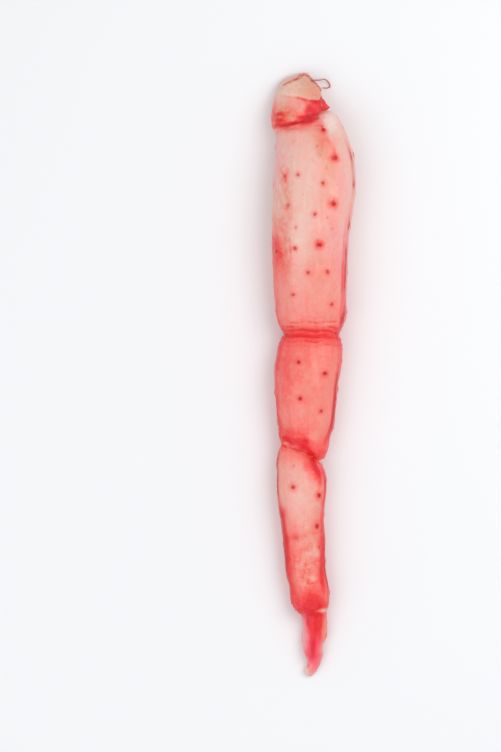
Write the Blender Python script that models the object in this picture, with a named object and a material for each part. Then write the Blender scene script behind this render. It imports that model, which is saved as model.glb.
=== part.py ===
"""Raw king crab leg, taken out of its shell in one piece and laid down pale side up.

Metres, +Z up. The leg lies along Y, with its torn body end at +Y and its tip at -Y. Its
underside rests on Z = 0, and X and Y are measured from the middle of its outline.
Five muscles follow each other: the basal stub, the merus, the carpus, the propodus and the
dactyl. The skin round the joints is creased, and the meat that filled the shell's spines
stands as small pimples. All of it is one solid.
"""

import math
from typing import NamedTuple

import bmesh
import bpy
import numpy as np
from mathutils import Vector, noise

LEG_NAME = "king_crab_leg"
LEG_LENGTH = 0.350
BODY_END_Y = LEG_LENGTH / 2
MIDDLE_SIDE = -0.00028  # middle of the outline's width, from the line that the sections start from
TIP_REACH = 0.0004  # from a muscle's last section to its tip
WELD_DISTANCE = 0.00001
SLOPE_STEP = 0.0008  # distance over which the skin's slope is measured

# Cross-section of a muscle that lies on a flat surface
BELLY_LEVEL = 0.43  # share of the height at which the section is widest
TOP_POWER = 2.15
UNDER_POWER = 2.7

# Broad unevenness of the flesh
LUMP_HEIGHT = 0.0007
LUMP_SPACING = 0.021

SPINE_SINK = 0.55  # share of a pimple's radius that its centre lies under the skin
SPINE_SEGMENTS = 6
SPINE_RINGS = 4
LEAST_SPINE_LEVEL = 0.004  # pimples keep this clear of the surface that the leg lies on

SLAB_SIZE = (0.2, 0.5, 0.03)

FLESH_COLOUR = (0.86, 0.42, 0.36, 1.0)
FLESH_ROUGHNESS = 0.3


class Station(NamedTuple):
    """One cross-section: metres from the body end, metres right of the middle, and its sizes."""

    along: float
    side: float
    width: float
    height: float
    bottom: float


class Muscle(NamedTuple):
    """One segment's muscle: its sections, and how finely it is meshed."""

    name: str
    stations: tuple
    rings: int
    sides: int


BASAL_STUB = Muscle(
    "basal_stub",
    (
        Station(0.0004, -0.0055, 0.0050, 0.0040, 0.0000),
        Station(0.0035, -0.0088, 0.0156, 0.0085, -0.0005),
        Station(0.0060, -0.0097, 0.0204, 0.0120, -0.0010),
        Station(0.0100, -0.0089, 0.0245, 0.0155, -0.0012),
        Station(0.0170, -0.0094, 0.0282, 0.0195, -0.0015),
        Station(0.0243, -0.0103, 0.0288, 0.0230, -0.0015),
        Station(0.0295, -0.0109, 0.0276, 0.0235, -0.0010),
        Station(0.0336, -0.0113, 0.0240, 0.0205, 0.0010),
        Station(0.0382, -0.0116, 0.0120, 0.0100, 0.0050),
    ),
    rings=17,
    sides=24,
)
MERUS = Muscle(
    "merus",
    (
        Station(0.0226, 0.0067, 0.0050, 0.0080, 0.0060),
        Station(0.0249, 0.0053, 0.0142, 0.0160, 0.0030),
        Station(0.0289, 0.0013, 0.0280, 0.0240, 0.0000),
        Station(0.0336, -0.0016, 0.0390, 0.0290, -0.0015),
        Station(0.0405, -0.0002, 0.0420, 0.0320, -0.0020),
        Station(0.0509, 0.0006, 0.0456, 0.0345, -0.0025),
        Station(0.0680, 0.0003, 0.0478, 0.0365, -0.0025),
        Station(0.0856, -0.0013, 0.0460, 0.0360, -0.0025),
        Station(0.1044, -0.0021, 0.0438, 0.0345, -0.0025),
        Station(0.1260, -0.0019, 0.0424, 0.0320, -0.0020),
        Station(0.1394, -0.0015, 0.0410, 0.0295, -0.0015),
        Station(0.1464, -0.0015, 0.0369, 0.0260, -0.0005),
        Station(0.1516, -0.0014, 0.0307, 0.0210, 0.0010),
        Station(0.1556, -0.0012, 0.0220, 0.0140, 0.0035),
        Station(0.1585, -0.0006, 0.0100, 0.0060, 0.0070),
    ),
    rings=30,
    sides=28,
)
CARPUS = Muscle(
    "carpus",
    (
        Station(0.1446, 0.0000, 0.0139, 0.0080, 0.0060),
        Station(0.1481, -0.0009, 0.0249, 0.0160, 0.0030),
        Station(0.1533, -0.0017, 0.0330, 0.0220, 0.0010),
        Station(0.1608, -0.0023, 0.0376, 0.0255, -0.0015),
        Station(0.1701, -0.0032, 0.0388, 0.0272, -0.0020),
        Station(0.1811, -0.0042, 0.0367, 0.0270, -0.0020),
        Station(0.1926, -0.0043, 0.0347, 0.0255, -0.0020),
        Station(0.2042, -0.0044, 0.0317, 0.0235, -0.0015),
        Station(0.2112, -0.0056, 0.0285, 0.0220, -0.0005),
        Station(0.2164, -0.0046, 0.0255, 0.0195, 0.0010),
        Station(0.2204, 0.0007, 0.0141, 0.0150, 0.0030),
        Station(0.2239, 0.0036, 0.0049, 0.0080, 0.0050),
    ),
    rings=20,
    sides=24,
)
PROPODUS = Muscle(
    "propodus",
    (
        Station(0.2136, -0.0140, 0.0060, 0.0060, 0.0060),
        Station(0.2175, -0.0125, 0.0139, 0.0130, 0.0030),
        Station(0.2216, -0.0112, 0.0192, 0.0180, 0.0005),
        Station(0.2268, -0.0094, 0.0239, 0.0210, -0.0010),
        Station(0.2337, -0.0071, 0.0278, 0.0230, -0.0015),
        Station(0.2401, -0.0070, 0.0279, 0.0235, -0.0020),
        Station(0.2493, -0.0072, 0.0272, 0.0230, -0.0020),
        Station(0.2592, -0.0067, 0.0247, 0.0220, -0.0020),
        Station(0.2736, -0.0053, 0.0234, 0.0205, -0.0020),
        Station(0.2881, -0.0044, 0.0222, 0.0195, -0.0015),
        Station(0.2997, -0.0029, 0.0222, 0.0185, -0.0015),
        Station(0.3066, -0.0023, 0.0218, 0.0170, -0.0010),
        Station(0.3112, -0.0017, 0.0185, 0.0140, 0.0000),
        Station(0.3141, -0.0012, 0.0127, 0.0100, 0.0015),
        Station(0.3159, -0.0006, 0.0058, 0.0050, 0.0035),
    ),
    rings=26,
    sides=24,
)
DACTYL = Muscle(
    "dactyl",
    (
        Station(0.3008, -0.0006, 0.0080, 0.0070, 0.0030),
        Station(0.3055, -0.0006, 0.0127, 0.0115, 0.0010),
        Station(0.3124, -0.0002, 0.0142, 0.0125, -0.0010),
        Station(0.3205, 0.0008, 0.0139, 0.0115, -0.0010),
        Station(0.3269, 0.0003, 0.0143, 0.0110, -0.0010),
        Station(0.3315, -0.0003, 0.0118, 0.0105, -0.0010),
        Station(0.3367, 0.0000, 0.0109, 0.0095, -0.0007),
        Station(0.3419, -0.0003, 0.0081, 0.0080, -0.0005),
        Station(0.3465, -0.0018, 0.0070, 0.0065, -0.0004),
        Station(0.3496, -0.0022, 0.0034, 0.0030, 0.0002),
    ),
    rings=18,
    sides=16,
)
MUSCLES = (BASAL_STUB, MERUS, CARPUS, PROPODUS, DACTYL)

# Spine pimples that show from above: metres along, metres to the side, and radius
SHOWN_SPINES = (
    (0.0338, 0.0050, 0.0014),
    (0.0434, 0.0017, 0.0010),
    (0.0488, 0.0037, 0.0010),
    (0.0500, 0.0117, 0.0021),
    (0.0601, -0.0167, 0.0017),
    (0.0598, -0.0093, 0.0012),
    (0.0648, 0.0052, 0.0014),
    (0.0775, -0.0150, 0.0017),
    (0.0760, 0.0110, 0.0021),
    (0.0826, 0.0006, 0.0013),
    (0.0904, -0.0105, 0.0012),
    (0.0910, 0.0105, 0.0012),
    (0.1004, 0.0031, 0.0019),
    (0.1022, -0.0111, 0.0013),
    (0.1040, -0.0213, 0.0017),
    (0.1165, -0.0032, 0.0015),
    (0.1158, 0.0078, 0.0015),
    (0.1345, 0.0100, 0.0015),
    (0.1290, -0.0120, 0.0014),
    (0.1680, -0.0090, 0.0014),
    (0.1745, 0.0060, 0.0017),
    (0.1890, -0.0080, 0.0015),
    (0.1960, 0.0040, 0.0014),
    (0.2280, -0.0117, 0.0010),
    (0.2400, -0.0121, 0.0017),
    (0.2453, 0.0032, 0.0014),
    (0.2630, 0.0022, 0.0016),
    (0.2693, -0.0095, 0.0013),
    (0.2748, 0.0035, 0.0011),
    (0.2890, -0.0020, 0.0012),
)

# Rows of pimples on the flanks: turn from the right-hand edge in degrees, spacing and radius
FLANK_TURNS = (-14.0, 14.0, 166.0, 194.0)
FLANK_SPACING = 0.021
FLANK_RADIUS = 0.0015
FLANK_STARTS = (0.35, 0.65)  # first pimple of even and of odd rows, in shares of the spacing
FLANK_MUSCLES = (MERUS, CARPUS, PROPODUS)

# Creases of skin round the joints: each a route of (along, side) points, and its radius
JOINT_FOLDS = {
    "fold_stub_rim": (((0.0330, -0.0232), (0.0320, -0.0130), (0.0302, -0.0060), (0.0292, 0.0030)), 0.0013),
    "fold_stub_band": (((0.0292, -0.0225), (0.0280, -0.0150), (0.0276, -0.0070), (0.0262, 0.0010)), 0.0011),
    "fold_knee_near": (((0.1440, -0.0190), (0.1468, -0.0090), (0.1472, 0.0050), (0.1444, 0.0160)), 0.0014),
    "fold_knee_middle": (((0.1500, -0.0165), (0.1512, -0.0040), (0.1518, 0.0060), (0.1492, 0.0145)), 0.0016),
    "fold_knee_far": (((0.1565, -0.0190), (0.1542, -0.0090), (0.1552, 0.0040), (0.1570, 0.0150)), 0.0013),
    "fold_wrist_near": (((0.2085, -0.0195), (0.2105, -0.0125), (0.2115, -0.0050), (0.2150, 0.0030)), 0.0014),
    "fold_wrist_far": (((0.2155, -0.0180), (0.2165, -0.0100), (0.2215, -0.0030), (0.2330, 0.0042)), 0.0017),
    "fold_ankle": (((0.3075, -0.0110), (0.3100, -0.0040), (0.3108, 0.0030), (0.3085, 0.0075)), 0.0012),
}
FOLD_SAMPLES = 14
FOLD_SINK = 0.35  # share of a fold's radius that its middle lies under the skin

# Pale hood of skin that is folded over the torn body end: its outline, its thickness, how
# deep it is rooted, and its loops from the root to the crown as (spread, rise) shares
HOOD_OUTLINE = (
    (0.0125, -0.0195),
    (0.0075, -0.0188),
    (0.0052, -0.0150),
    (0.0035, -0.0098),
    (0.0018, -0.0052),
    (0.0056, -0.0015),
    (0.0102, 0.0034),
    (0.0140, 0.0042),
    (0.0166, 0.0030),
    (0.0162, -0.0030),
    (0.0143, -0.0095),
    (0.0136, -0.0150),
)
HOOD_THICKNESS = 0.0015
HOOD_ROOT = 0.0040
HOOD_LOOPS = ((1.0, 0.5), (0.88, 0.95), (0.45, 1.0))
HOOD_INSET = 0.94  # the hood's edge takes its level from the skin this far in

# Torn rim of the hood, and the loose thread of skin that hangs from it
RIM_ROUTE = (
    (0.0070, -0.0182),
    (0.0060, -0.0140),
    (0.0040, -0.0095),
    (0.0022, -0.0050),
    (0.0052, -0.0022),
    (0.0098, 0.0026),
)
RIM_RADIUS = 0.0007
THREAD_ROOT = (0.0066, -0.0030)
THREAD_ROUTE = (
    (0.0047, 0.0004, 0.0087),
    (0.0046, 0.0030, 0.0070),
    (0.0040, 0.0060, 0.0040),
    (0.0060, 0.0086, 0.0014),
    (0.0082, 0.0094, 0.0006),
    (0.0090, 0.0074, 0.0006),
    (0.0089, 0.0050, 0.0007),
)
THREAD_SAMPLES = 24
THREAD_RADIUS = 0.0005

# Web of red skin on the right of the stub: its root on the muscle and its free edge
WEB_ROOT = ((0.0150, 0.0000, 0.0150), (0.0210, 0.0010, 0.0160), (0.0280, 0.0000, 0.0170))
WEB_EDGE = ((0.0142, 0.0044, 0.0120), (0.0206, 0.0094, 0.0095), (0.0246, 0.0044, 0.0150))
WEB_THICKNESS = 0.0014
WEB_SINK = Vector((-0.0040, 0.0, -0.0010))  # from the root line into the muscle
WEB_ROWS = 9
WEB_COLUMNS = 5


def smooth_through(knots, values, where):
    """Value at `where` of the smooth curve through the values, which never overshoots them."""
    knots = np.asarray(knots, float)
    values = np.asarray(values, float)
    steps = np.diff(knots)
    slopes = np.diff(values) / steps
    tangents = np.zeros(len(knots))
    tangents[0] = slopes[0]
    tangents[-1] = slopes[-1]
    turning = slopes[:-1] * slopes[1:] <= 0
    means = 2 * slopes[:-1] * slopes[1:] / np.where(turning, 1.0, slopes[:-1] + slopes[1:])
    tangents[1:-1] = np.where(turning, 0.0, means)
    i = int(np.clip(np.searchsorted(knots, where) - 1, 0, len(steps) - 1))
    t = float(np.clip((where - knots[i]) / steps[i], 0.0, 1.0))
    blend = t * t * (3 - 2 * t)
    lead = t * (1 - t) ** 2 * steps[i]
    trail = t * t * (t - 1) * steps[i]
    return values[i] * (1 - blend) + values[i + 1] * blend + tangents[i] * lead + tangents[i + 1] * trail


def section_at(muscle, along):
    """The muscle's cross-section at a distance from the body end."""
    columns = list(zip(*muscle.stations))
    return Station(along, *(smooth_through(columns[0], column, along) for column in columns[1:]))


def signed_power(value, power):
    """The value's size raised to a power, with its sign kept."""
    return math.copysign(abs(value) ** power, value)


def place(along, side, level):
    """A point from its distance to the body end, its distance to the side, and its height."""
    return Vector((side - MIDDLE_SIDE, BODY_END_Y - along, level))


def lump(point):
    """Height of the flesh's broad unevenness at a point."""
    return LUMP_HEIGHT * noise.noise(point / LUMP_SPACING)


def section_point(section, turn):
    """Point of a section's outline, turned in radians from its right-hand edge over the top."""
    half = section.width / 2
    belly = section.bottom + BELLY_LEVEL * section.height
    reach = section.bottom + section.height - belly if math.sin(turn) >= 0 else belly - section.bottom
    power = TOP_POWER if math.sin(turn) >= 0 else UNDER_POWER
    across = half * signed_power(math.cos(turn), 2 / power)
    up = reach * signed_power(math.sin(turn), 2 / power)
    point = place(section.along, section.side + across, belly + up)
    outward = Vector((across / half**2, 0.0, up / reach**2)).normalized()
    return point + outward * lump(point)


def skin_level(along, side):
    """Height of the leg's upper skin over a point. Beyond the outline, it is the outline's edge."""
    levels = []
    for muscle in MUSCLES:
        if not muscle.stations[0].along <= along <= muscle.stations[-1].along:
            continue
        section = section_at(muscle, along)
        share = min(abs(side - section.side) / (section.width / 2), 1.0)
        belly = section.bottom + BELLY_LEVEL * section.height
        rise = (1 - share**TOP_POWER) ** (1 / TOP_POWER)
        level = belly + (section.bottom + section.height - belly) * rise
        levels.append(level + lump(place(along, side, level)))
    return max(levels)


def skin_point(along, side, sink=0.0):
    """Point of the upper skin, or `sink` metres under it along the skin's normal."""
    here = skin_level(along, side)
    slope_x = (skin_level(along, side + SLOPE_STEP) - here) / SLOPE_STEP
    slope_y = (skin_level(along - SLOPE_STEP, side) - here) / SLOPE_STEP
    normal = Vector((-slope_x, -slope_y, 1.0)).normalized()
    return place(along, side, here) - normal * sink


def add_object(name, mesh, collection):
    """An object for a mesh, linked to a collection."""
    made = bpy.data.objects.new(name, mesh)
    collection.objects.link(made)
    return made


def mesh_from(name, points, faces):
    """A closed mesh whose faces point outwards."""
    mesh = bpy.data.meshes.new(name)
    mesh.from_pydata([tuple(p) for p in points], [], faces)
    shell = bmesh.new()
    shell.from_mesh(mesh)
    bmesh.ops.recalc_face_normals(shell, faces=shell.faces)
    shell.to_mesh(mesh)
    shell.free()
    return mesh


def closed_loft(name, loops, first_tip, last_tip):
    """A closed mesh through equal loops of points, with a tip beyond each end."""
    sides = len(loops[0])
    points = [point for loop in loops for point in loop]
    faces = []
    for row in range(len(loops) - 1):
        for k in range(sides):
            a = row * sides + k
            b = row * sides + (k + 1) % sides
            faces.append((a, b, b + sides, a + sides))
    points += [first_tip, last_tip]
    last = (len(loops) - 1) * sides
    for k in range(sides):
        after = (k + 1) % sides
        faces.append((len(points) - 2, after, k))
        faces.append((len(points) - 1, last + k, last + after))
    return mesh_from(name, points, faces)


def build_muscle(muscle, collection):
    """One segment's muscle, lofted through its sections, with rings closer near its ends."""
    start = muscle.stations[0].along
    reach = muscle.stations[-1].along - start
    loops = []
    for row in range(muscle.rings):
        share = (1 - math.cos(math.pi * row / (muscle.rings - 1))) / 2
        section = section_at(muscle, start + reach * share)
        turns = [math.tau * k / muscle.sides for k in range(muscle.sides)]
        loops.append([section_point(section, turn) for turn in turns])
    tips = []
    for loop, outward in ((loops[0], 1), (loops[-1], -1)):
        middle = sum(loop, Vector()) / len(loop)
        tips.append(middle + Vector((0.0, outward * TIP_REACH, 0.0)))
    mesh = closed_loft(muscle.name, loops, *tips)
    return add_object(muscle.name, mesh, collection)


def build_spine(index, centre, radius, collection):
    """One pimple, a small ball that is sunk into the skin."""
    mesh = bpy.data.meshes.new(f"spine_{index}")
    ball = bmesh.new()
    bmesh.ops.create_uvsphere(ball, u_segments=SPINE_SEGMENTS, v_segments=SPINE_RINGS, radius=radius)
    bmesh.ops.translate(ball, verts=ball.verts, vec=centre)
    ball.to_mesh(mesh)
    ball.free()
    add_object(mesh.name, mesh, collection)


def flank_spines():
    """Centres of the pimples on the flanks, in rows whose places are staggered."""
    for muscle in FLANK_MUSCLES:
        start = muscle.stations[2].along
        reach = muscle.stations[-3].along - start
        for row, turn in enumerate(FLANK_TURNS):
            count = int(reach / FLANK_SPACING)
            for k in range(count):
                along = start + reach * (k + FLANK_STARTS[row % 2]) / count
                section = section_at(muscle, along)
                point = section_point(section, math.radians(turn))
                if point.z > LEAST_SPINE_LEVEL:
                    inward = Vector((math.copysign(1.0, section.side - point.x), 0.0, 0.0))
                    yield point + inward * FLANK_RADIUS * SPINE_SINK


def build_spines(collection):
    """All the pimples: those that show from above, then those on the flanks."""
    centres = [(skin_point(along, side, radius * SPINE_SINK), radius) for along, side, radius in SHOWN_SPINES]
    centres += [(centre, FLANK_RADIUS) for centre in flank_spines()]
    for index, (centre, radius) in enumerate(centres):
        build_spine(index, centre, radius, collection)


def curve_through(route, share):
    """Point on the smooth line through a route's points, at a share of its length."""
    knots = range(len(route))
    where = share * (len(route) - 1)
    return Vector([smooth_through(knots, [point[axis] for point in route], where) for axis in range(3)])


def build_tube(name, points, radius, collection, end_share=1.0):
    """A round strand of skin along points, made a mesh. Its ends may be thinner."""
    line = bpy.data.curves.new(name, "CURVE")
    line.dimensions = "3D"
    line.bevel_depth = radius
    line.bevel_resolution = 1
    line.use_fill_caps = True
    spline = line.splines.new("POLY")
    spline.points.add(len(points) - 1)
    for k, (target, point) in enumerate(zip(spline.points, points)):
        target.co = (*point, 1.0)
        swell = math.sqrt(abs(math.sin(math.pi * k / (len(points) - 1))))
        target.radius = end_share + (1 - end_share) * swell
    strand = bpy.data.objects.new(name, line)
    collection.objects.link(strand)
    bpy.context.view_layer.update()
    graph = bpy.context.evaluated_depsgraph_get()
    mesh = bpy.data.meshes.new_from_object(strand.evaluated_get(graph))
    bpy.data.objects.remove(strand)
    welded = bmesh.new()
    welded.from_mesh(mesh)
    bmesh.ops.remove_doubles(welded, verts=welded.verts, dist=WELD_DISTANCE)
    bmesh.ops.recalc_face_normals(welded, faces=welded.faces)
    welded.to_mesh(mesh)
    welded.free()
    return add_object(name, mesh, collection)


def build_folds(collection):
    """The creases of skin round the joints, half sunk into what they lie on."""
    for name, (route, radius) in JOINT_FOLDS.items():
        flat = [Vector((along, side, 0.0)) for along, side in route]
        points = []
        for k in range(FOLD_SAMPLES):
            spot = curve_through(flat, k / (FOLD_SAMPLES - 1))
            points.append(skin_point(spot.x, spot.y, radius * FOLD_SINK))
        build_tube(name, points, radius, collection, end_share=0.5)


def build_hood(collection):
    """The pale hood over the torn end: a pad that follows the stub's skin, with a stepped edge."""
    count = len(HOOD_OUTLINE)
    middle_along = sum(along for along, _ in HOOD_OUTLINE) / count
    middle_side = sum(side for _, side in HOOD_OUTLINE) / count
    levels = [(1.0, -HOOD_ROOT)] + [(spread, rise * HOOD_THICKNESS) for spread, rise in HOOD_LOOPS]
    loops = []
    for spread, level in levels:
        inset = min(spread, HOOD_INSET)
        loop = []
        for along, side in HOOD_OUTLINE:
            reach_along = along - middle_along
            reach_side = side - middle_side
            base = skin_level(middle_along + reach_along * inset, middle_side + reach_side * inset)
            spot = (middle_along + reach_along * spread, middle_side + reach_side * spread)
            loop.append(place(*spot, base + level))
        loops.append(loop)
    under = place(middle_along, middle_side, skin_level(middle_along, middle_side) - HOOD_ROOT)
    over = place(middle_along, middle_side, skin_level(middle_along, middle_side) + HOOD_THICKNESS)
    add_object("hood", closed_loft("hood", loops, under, over), collection)


def build_rim(collection):
    """The torn rim along the hood's end."""
    flat = [Vector((along, side, 0.0)) for along, side in RIM_ROUTE]
    points = []
    for k in range(FOLD_SAMPLES):
        spot = curve_through(flat, k / (FOLD_SAMPLES - 1))
        points.append(skin_point(spot.x, spot.y) + Vector((0.0, 0.0, HOOD_THICKNESS * 0.5)))
    build_tube("torn_rim", points, RIM_RADIUS, collection, end_share=0.6)


def build_thread(collection):
    """The loose thread of skin, drooping from the rim to the surface below."""
    route = [skin_point(*THREAD_ROOT)] + [place(*spot) for spot in THREAD_ROUTE]
    points = [curve_through(route, k / (THREAD_SAMPLES - 1)) for k in range(THREAD_SAMPLES)]
    build_tube("loose_thread", points, THREAD_RADIUS, collection)


def build_web(collection):
    """The red web of skin: a sheet from the stub's flank to a free edge with one corner."""
    root = [place(*spot) for spot in WEB_ROOT]
    edge = [place(*spot) for spot in WEB_EDGE]
    half = Vector((0.0, 0.0, WEB_THICKNESS / 2))
    sheet = []
    for row in range(WEB_ROWS):
        share = row / (WEB_ROWS - 1)
        leg = share * (len(edge) - 1)
        k = min(int(leg), len(edge) - 2)
        near = root[k].lerp(root[k + 1], leg - k) + WEB_SINK
        far = edge[k].lerp(edge[k + 1], leg - k)
        sheet.append([near.lerp(far, column / (WEB_COLUMNS - 1)) for column in range(WEB_COLUMNS)])
    loops = []
    for line in sheet:
        over = [point + half for point in line]
        under = [point - half for point in reversed(line)]
        loops.append(over + under)
    tips = [sum(loop, Vector()) / len(loop) for loop in (loops[0], loops[-1])]
    add_object("web", closed_loft("web", loops, *tips), collection)


def flesh_material():
    """Wet raw flesh under a pink skin."""
    material = bpy.data.materials.new("raw_flesh")
    material.use_nodes = True
    shader = material.node_tree.nodes["Principled BSDF"]
    shader.inputs["Base Color"].default_value = FLESH_COLOUR
    shader.inputs["Roughness"].default_value = FLESH_ROUGHNESS
    shader.inputs["Metallic"].default_value = 0.0
    return material


def fuse(pieces, collection):
    """One object from all the pieces, cut flat where the leg rests, with the pieces removed."""
    first, *others = list(pieces.objects)
    for piece in others:
        pieces.objects.unlink(piece)
    rest = bpy.data.collections.new("fused_pieces")
    bpy.context.scene.collection.children.link(rest)
    for piece in others:
        rest.objects.link(piece)
    union = first.modifiers.new("union", "BOOLEAN")
    union.operation = "UNION"
    union.operand_type = "COLLECTION"
    union.collection = rest
    union.solver = "MANIFOLD"
    slab_mesh = bpy.data.meshes.new("slab")
    slab_shape = bmesh.new()
    bmesh.ops.create_cube(slab_shape, size=1.0)
    bmesh.ops.scale(slab_shape, vec=SLAB_SIZE, verts=slab_shape.verts)
    bmesh.ops.translate(slab_shape, vec=(0.0, 0.0, -SLAB_SIZE[2] / 2), verts=slab_shape.verts)
    slab_shape.to_mesh(slab_mesh)
    slab_shape.free()
    slab = add_object("slab", slab_mesh, bpy.context.scene.collection)
    slab.hide_render = True
    slab.display_type = "WIRE"
    cut = first.modifiers.new("rest_flat", "BOOLEAN")
    cut.operation = "DIFFERENCE"
    cut.object = slab
    cut.solver = "MANIFOLD"
    bpy.context.view_layer.update()
    graph = bpy.context.evaluated_depsgraph_get()
    mesh = bpy.data.meshes.new_from_object(first.evaluated_get(graph))
    mesh.name = LEG_NAME
    for piece in [first, slab, *others]:
        bpy.data.objects.remove(piece)
    bpy.data.collections.remove(rest)
    return add_object(LEG_NAME, mesh, collection)


def main():
    """Clears the scene and builds the leg."""
    for old in list(bpy.data.objects):
        bpy.data.objects.remove(old)
    leg_parts = bpy.data.collections.new(LEG_NAME)
    pieces = bpy.data.collections.new("pieces")
    for made in (leg_parts, pieces):
        bpy.context.scene.collection.children.link(made)
    for muscle in MUSCLES:
        build_muscle(muscle, pieces)
    build_spines(pieces)
    build_folds(pieces)
    build_hood(pieces)
    build_rim(pieces)
    build_thread(pieces)
    build_web(pieces)
    leg = fuse(pieces, leg_parts)
    leg.data.materials.clear()
    leg.data.materials.append(flesh_material())
    leg.data.shade_smooth()
    bpy.data.collections.remove(pieces)


main()
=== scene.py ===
"""Looks of a raw king crab leg, taken out of its shell and laid down pale side up.

Metres, +Z up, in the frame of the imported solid: the torn body end is at +Y, the tip at -Y, and
the leg lies on Z = 0. The whole leg is one fine mesh, grown from the same sections as the
solid, with its relief as real shape and its colours painted on its points. The torn rim, the
loose thread and the red web of skin at the body end are pieces of their own.
"""

import logging
import math
from dataclasses import dataclass
from enum import Enum

import bmesh
import bpy
import numpy as np
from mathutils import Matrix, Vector, noise
from mathutils.bvhtree import BVHTree


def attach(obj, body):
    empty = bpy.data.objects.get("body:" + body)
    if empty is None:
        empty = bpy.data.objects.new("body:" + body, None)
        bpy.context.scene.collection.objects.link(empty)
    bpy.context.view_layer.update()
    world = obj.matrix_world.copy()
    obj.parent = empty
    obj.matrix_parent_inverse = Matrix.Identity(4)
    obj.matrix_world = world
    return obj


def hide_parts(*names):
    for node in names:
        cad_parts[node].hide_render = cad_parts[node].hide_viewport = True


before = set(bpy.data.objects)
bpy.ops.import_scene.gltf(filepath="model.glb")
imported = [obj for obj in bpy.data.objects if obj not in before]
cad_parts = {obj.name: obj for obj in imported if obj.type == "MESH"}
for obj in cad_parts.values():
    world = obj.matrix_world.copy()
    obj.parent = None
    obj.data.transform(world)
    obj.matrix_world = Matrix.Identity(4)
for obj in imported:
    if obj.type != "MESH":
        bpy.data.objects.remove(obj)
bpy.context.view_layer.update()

LEG_NODE = "king_crab_leg"
MM = 0.001
TINY = 1e-9
FAR = 99.0

Span = tuple[float, float]
Triple = tuple[float, float, float]
Profile = tuple[Span, ...]
Route = tuple[Triple, ...]

log = logging.getLogger("king_crab_leg")


class Field(Enum):
    """What is painted on the skin's points, by the name that the finish reads it by."""

    RED = "red"
    HUE = "hue"
    NET = "net"
    # painted highlight: the pale patch on the merus's right shoulder
    CLEAR = "clear"
    LINE = "line"
    LINE_OFF = "line_off"
    SPOT = "spot"
    SPOT_TONE = "spot_tone"
    # painted shade: how deep a point lies in a crease, which darkens its colour
    CREASE = "crease"


class Op(Enum):
    """Math node operations that the wires use."""

    ADD = "ADD"
    SUBTRACT = "SUBTRACT"
    MULTIPLY = "MULTIPLY"
    MAXIMUM = "MAXIMUM"
    MINIMUM = "MINIMUM"


# Sections of the leg


def smooth_through(knots: np.ndarray, values: np.ndarray, where: np.ndarray) -> np.ndarray:
    """Reads the smooth curve through some values, which never overshoots them.

    Args:
        knots: Rising places of the values.
        values: The curve's value at each knot.
        where: Places to read the curve at. Beyond the ends it keeps its end value.

    Returns:
        The curve's value at each place.
    """
    knots = np.asarray(knots, float)
    values = np.asarray(values, float)
    where = np.asarray(where, float)
    steps = np.diff(knots)
    slopes = np.diff(values) / steps
    tangents = np.zeros(len(knots))
    tangents[0] = slopes[0]
    tangents[-1] = slopes[-1]
    turning = slopes[:-1] * slopes[1:] <= 0
    means = 2 * slopes[:-1] * slopes[1:] / np.where(turning, 1.0, slopes[:-1] + slopes[1:])
    tangents[1:-1] = np.where(turning, 0.0, means)
    i = np.clip(np.searchsorted(knots, where) - 1, 0, len(steps) - 1)
    t = np.clip((where - knots[i]) / steps[i], 0.0, 1.0)
    blend = t * t * (3 - 2 * t)
    lead = t * (1 - t) ** 2 * steps[i]
    trail = t * t * (t - 1) * steps[i]
    straight = values[i] * (1 - blend) + values[i + 1] * blend
    return straight + tangents[i] * lead + tangents[i + 1] * trail


def ease(value: np.ndarray, low: float, high: float) -> np.ndarray:
    """Rises smoothly from 0 at `low` to 1 at `high`."""
    t = np.clip((np.asarray(value, float) - low) / (high - low), 0.0, 1.0)
    return t * t * (3 - 2 * t)


def noise_at(points: np.ndarray, spacing: float | Triple, shift: float = 0.0) -> np.ndarray:
    """Smooth noise between about -1 and 1 at points, with features `spacing` metres apart."""
    scaled = points / np.asarray(spacing) + shift
    return np.array([noise.noise(Vector(place)) for place in scaled])


@dataclass(frozen=True)
class LegFrame:
    """Turns places on the leg into the model's frame: millimetres along it and to its side."""

    body_end_y: float = 0.175
    middle_side: float = -0.28

    def place(self, along: float, side: float, level: float) -> Vector:
        """A point in metres from millimetres along the leg, to its side, and up."""
        return Vector(((side - self.middle_side) * MM, self.body_end_y - along * MM, level * MM))

    def along(self, points: np.ndarray) -> np.ndarray:
        """Millimetres along the leg of points in metres."""
        return (self.body_end_y - points[:, 1]) / MM

    def side(self, points: np.ndarray) -> np.ndarray:
        """Millimetres to the side of points in metres."""
        return points[:, 0] / MM + self.middle_side


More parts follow.
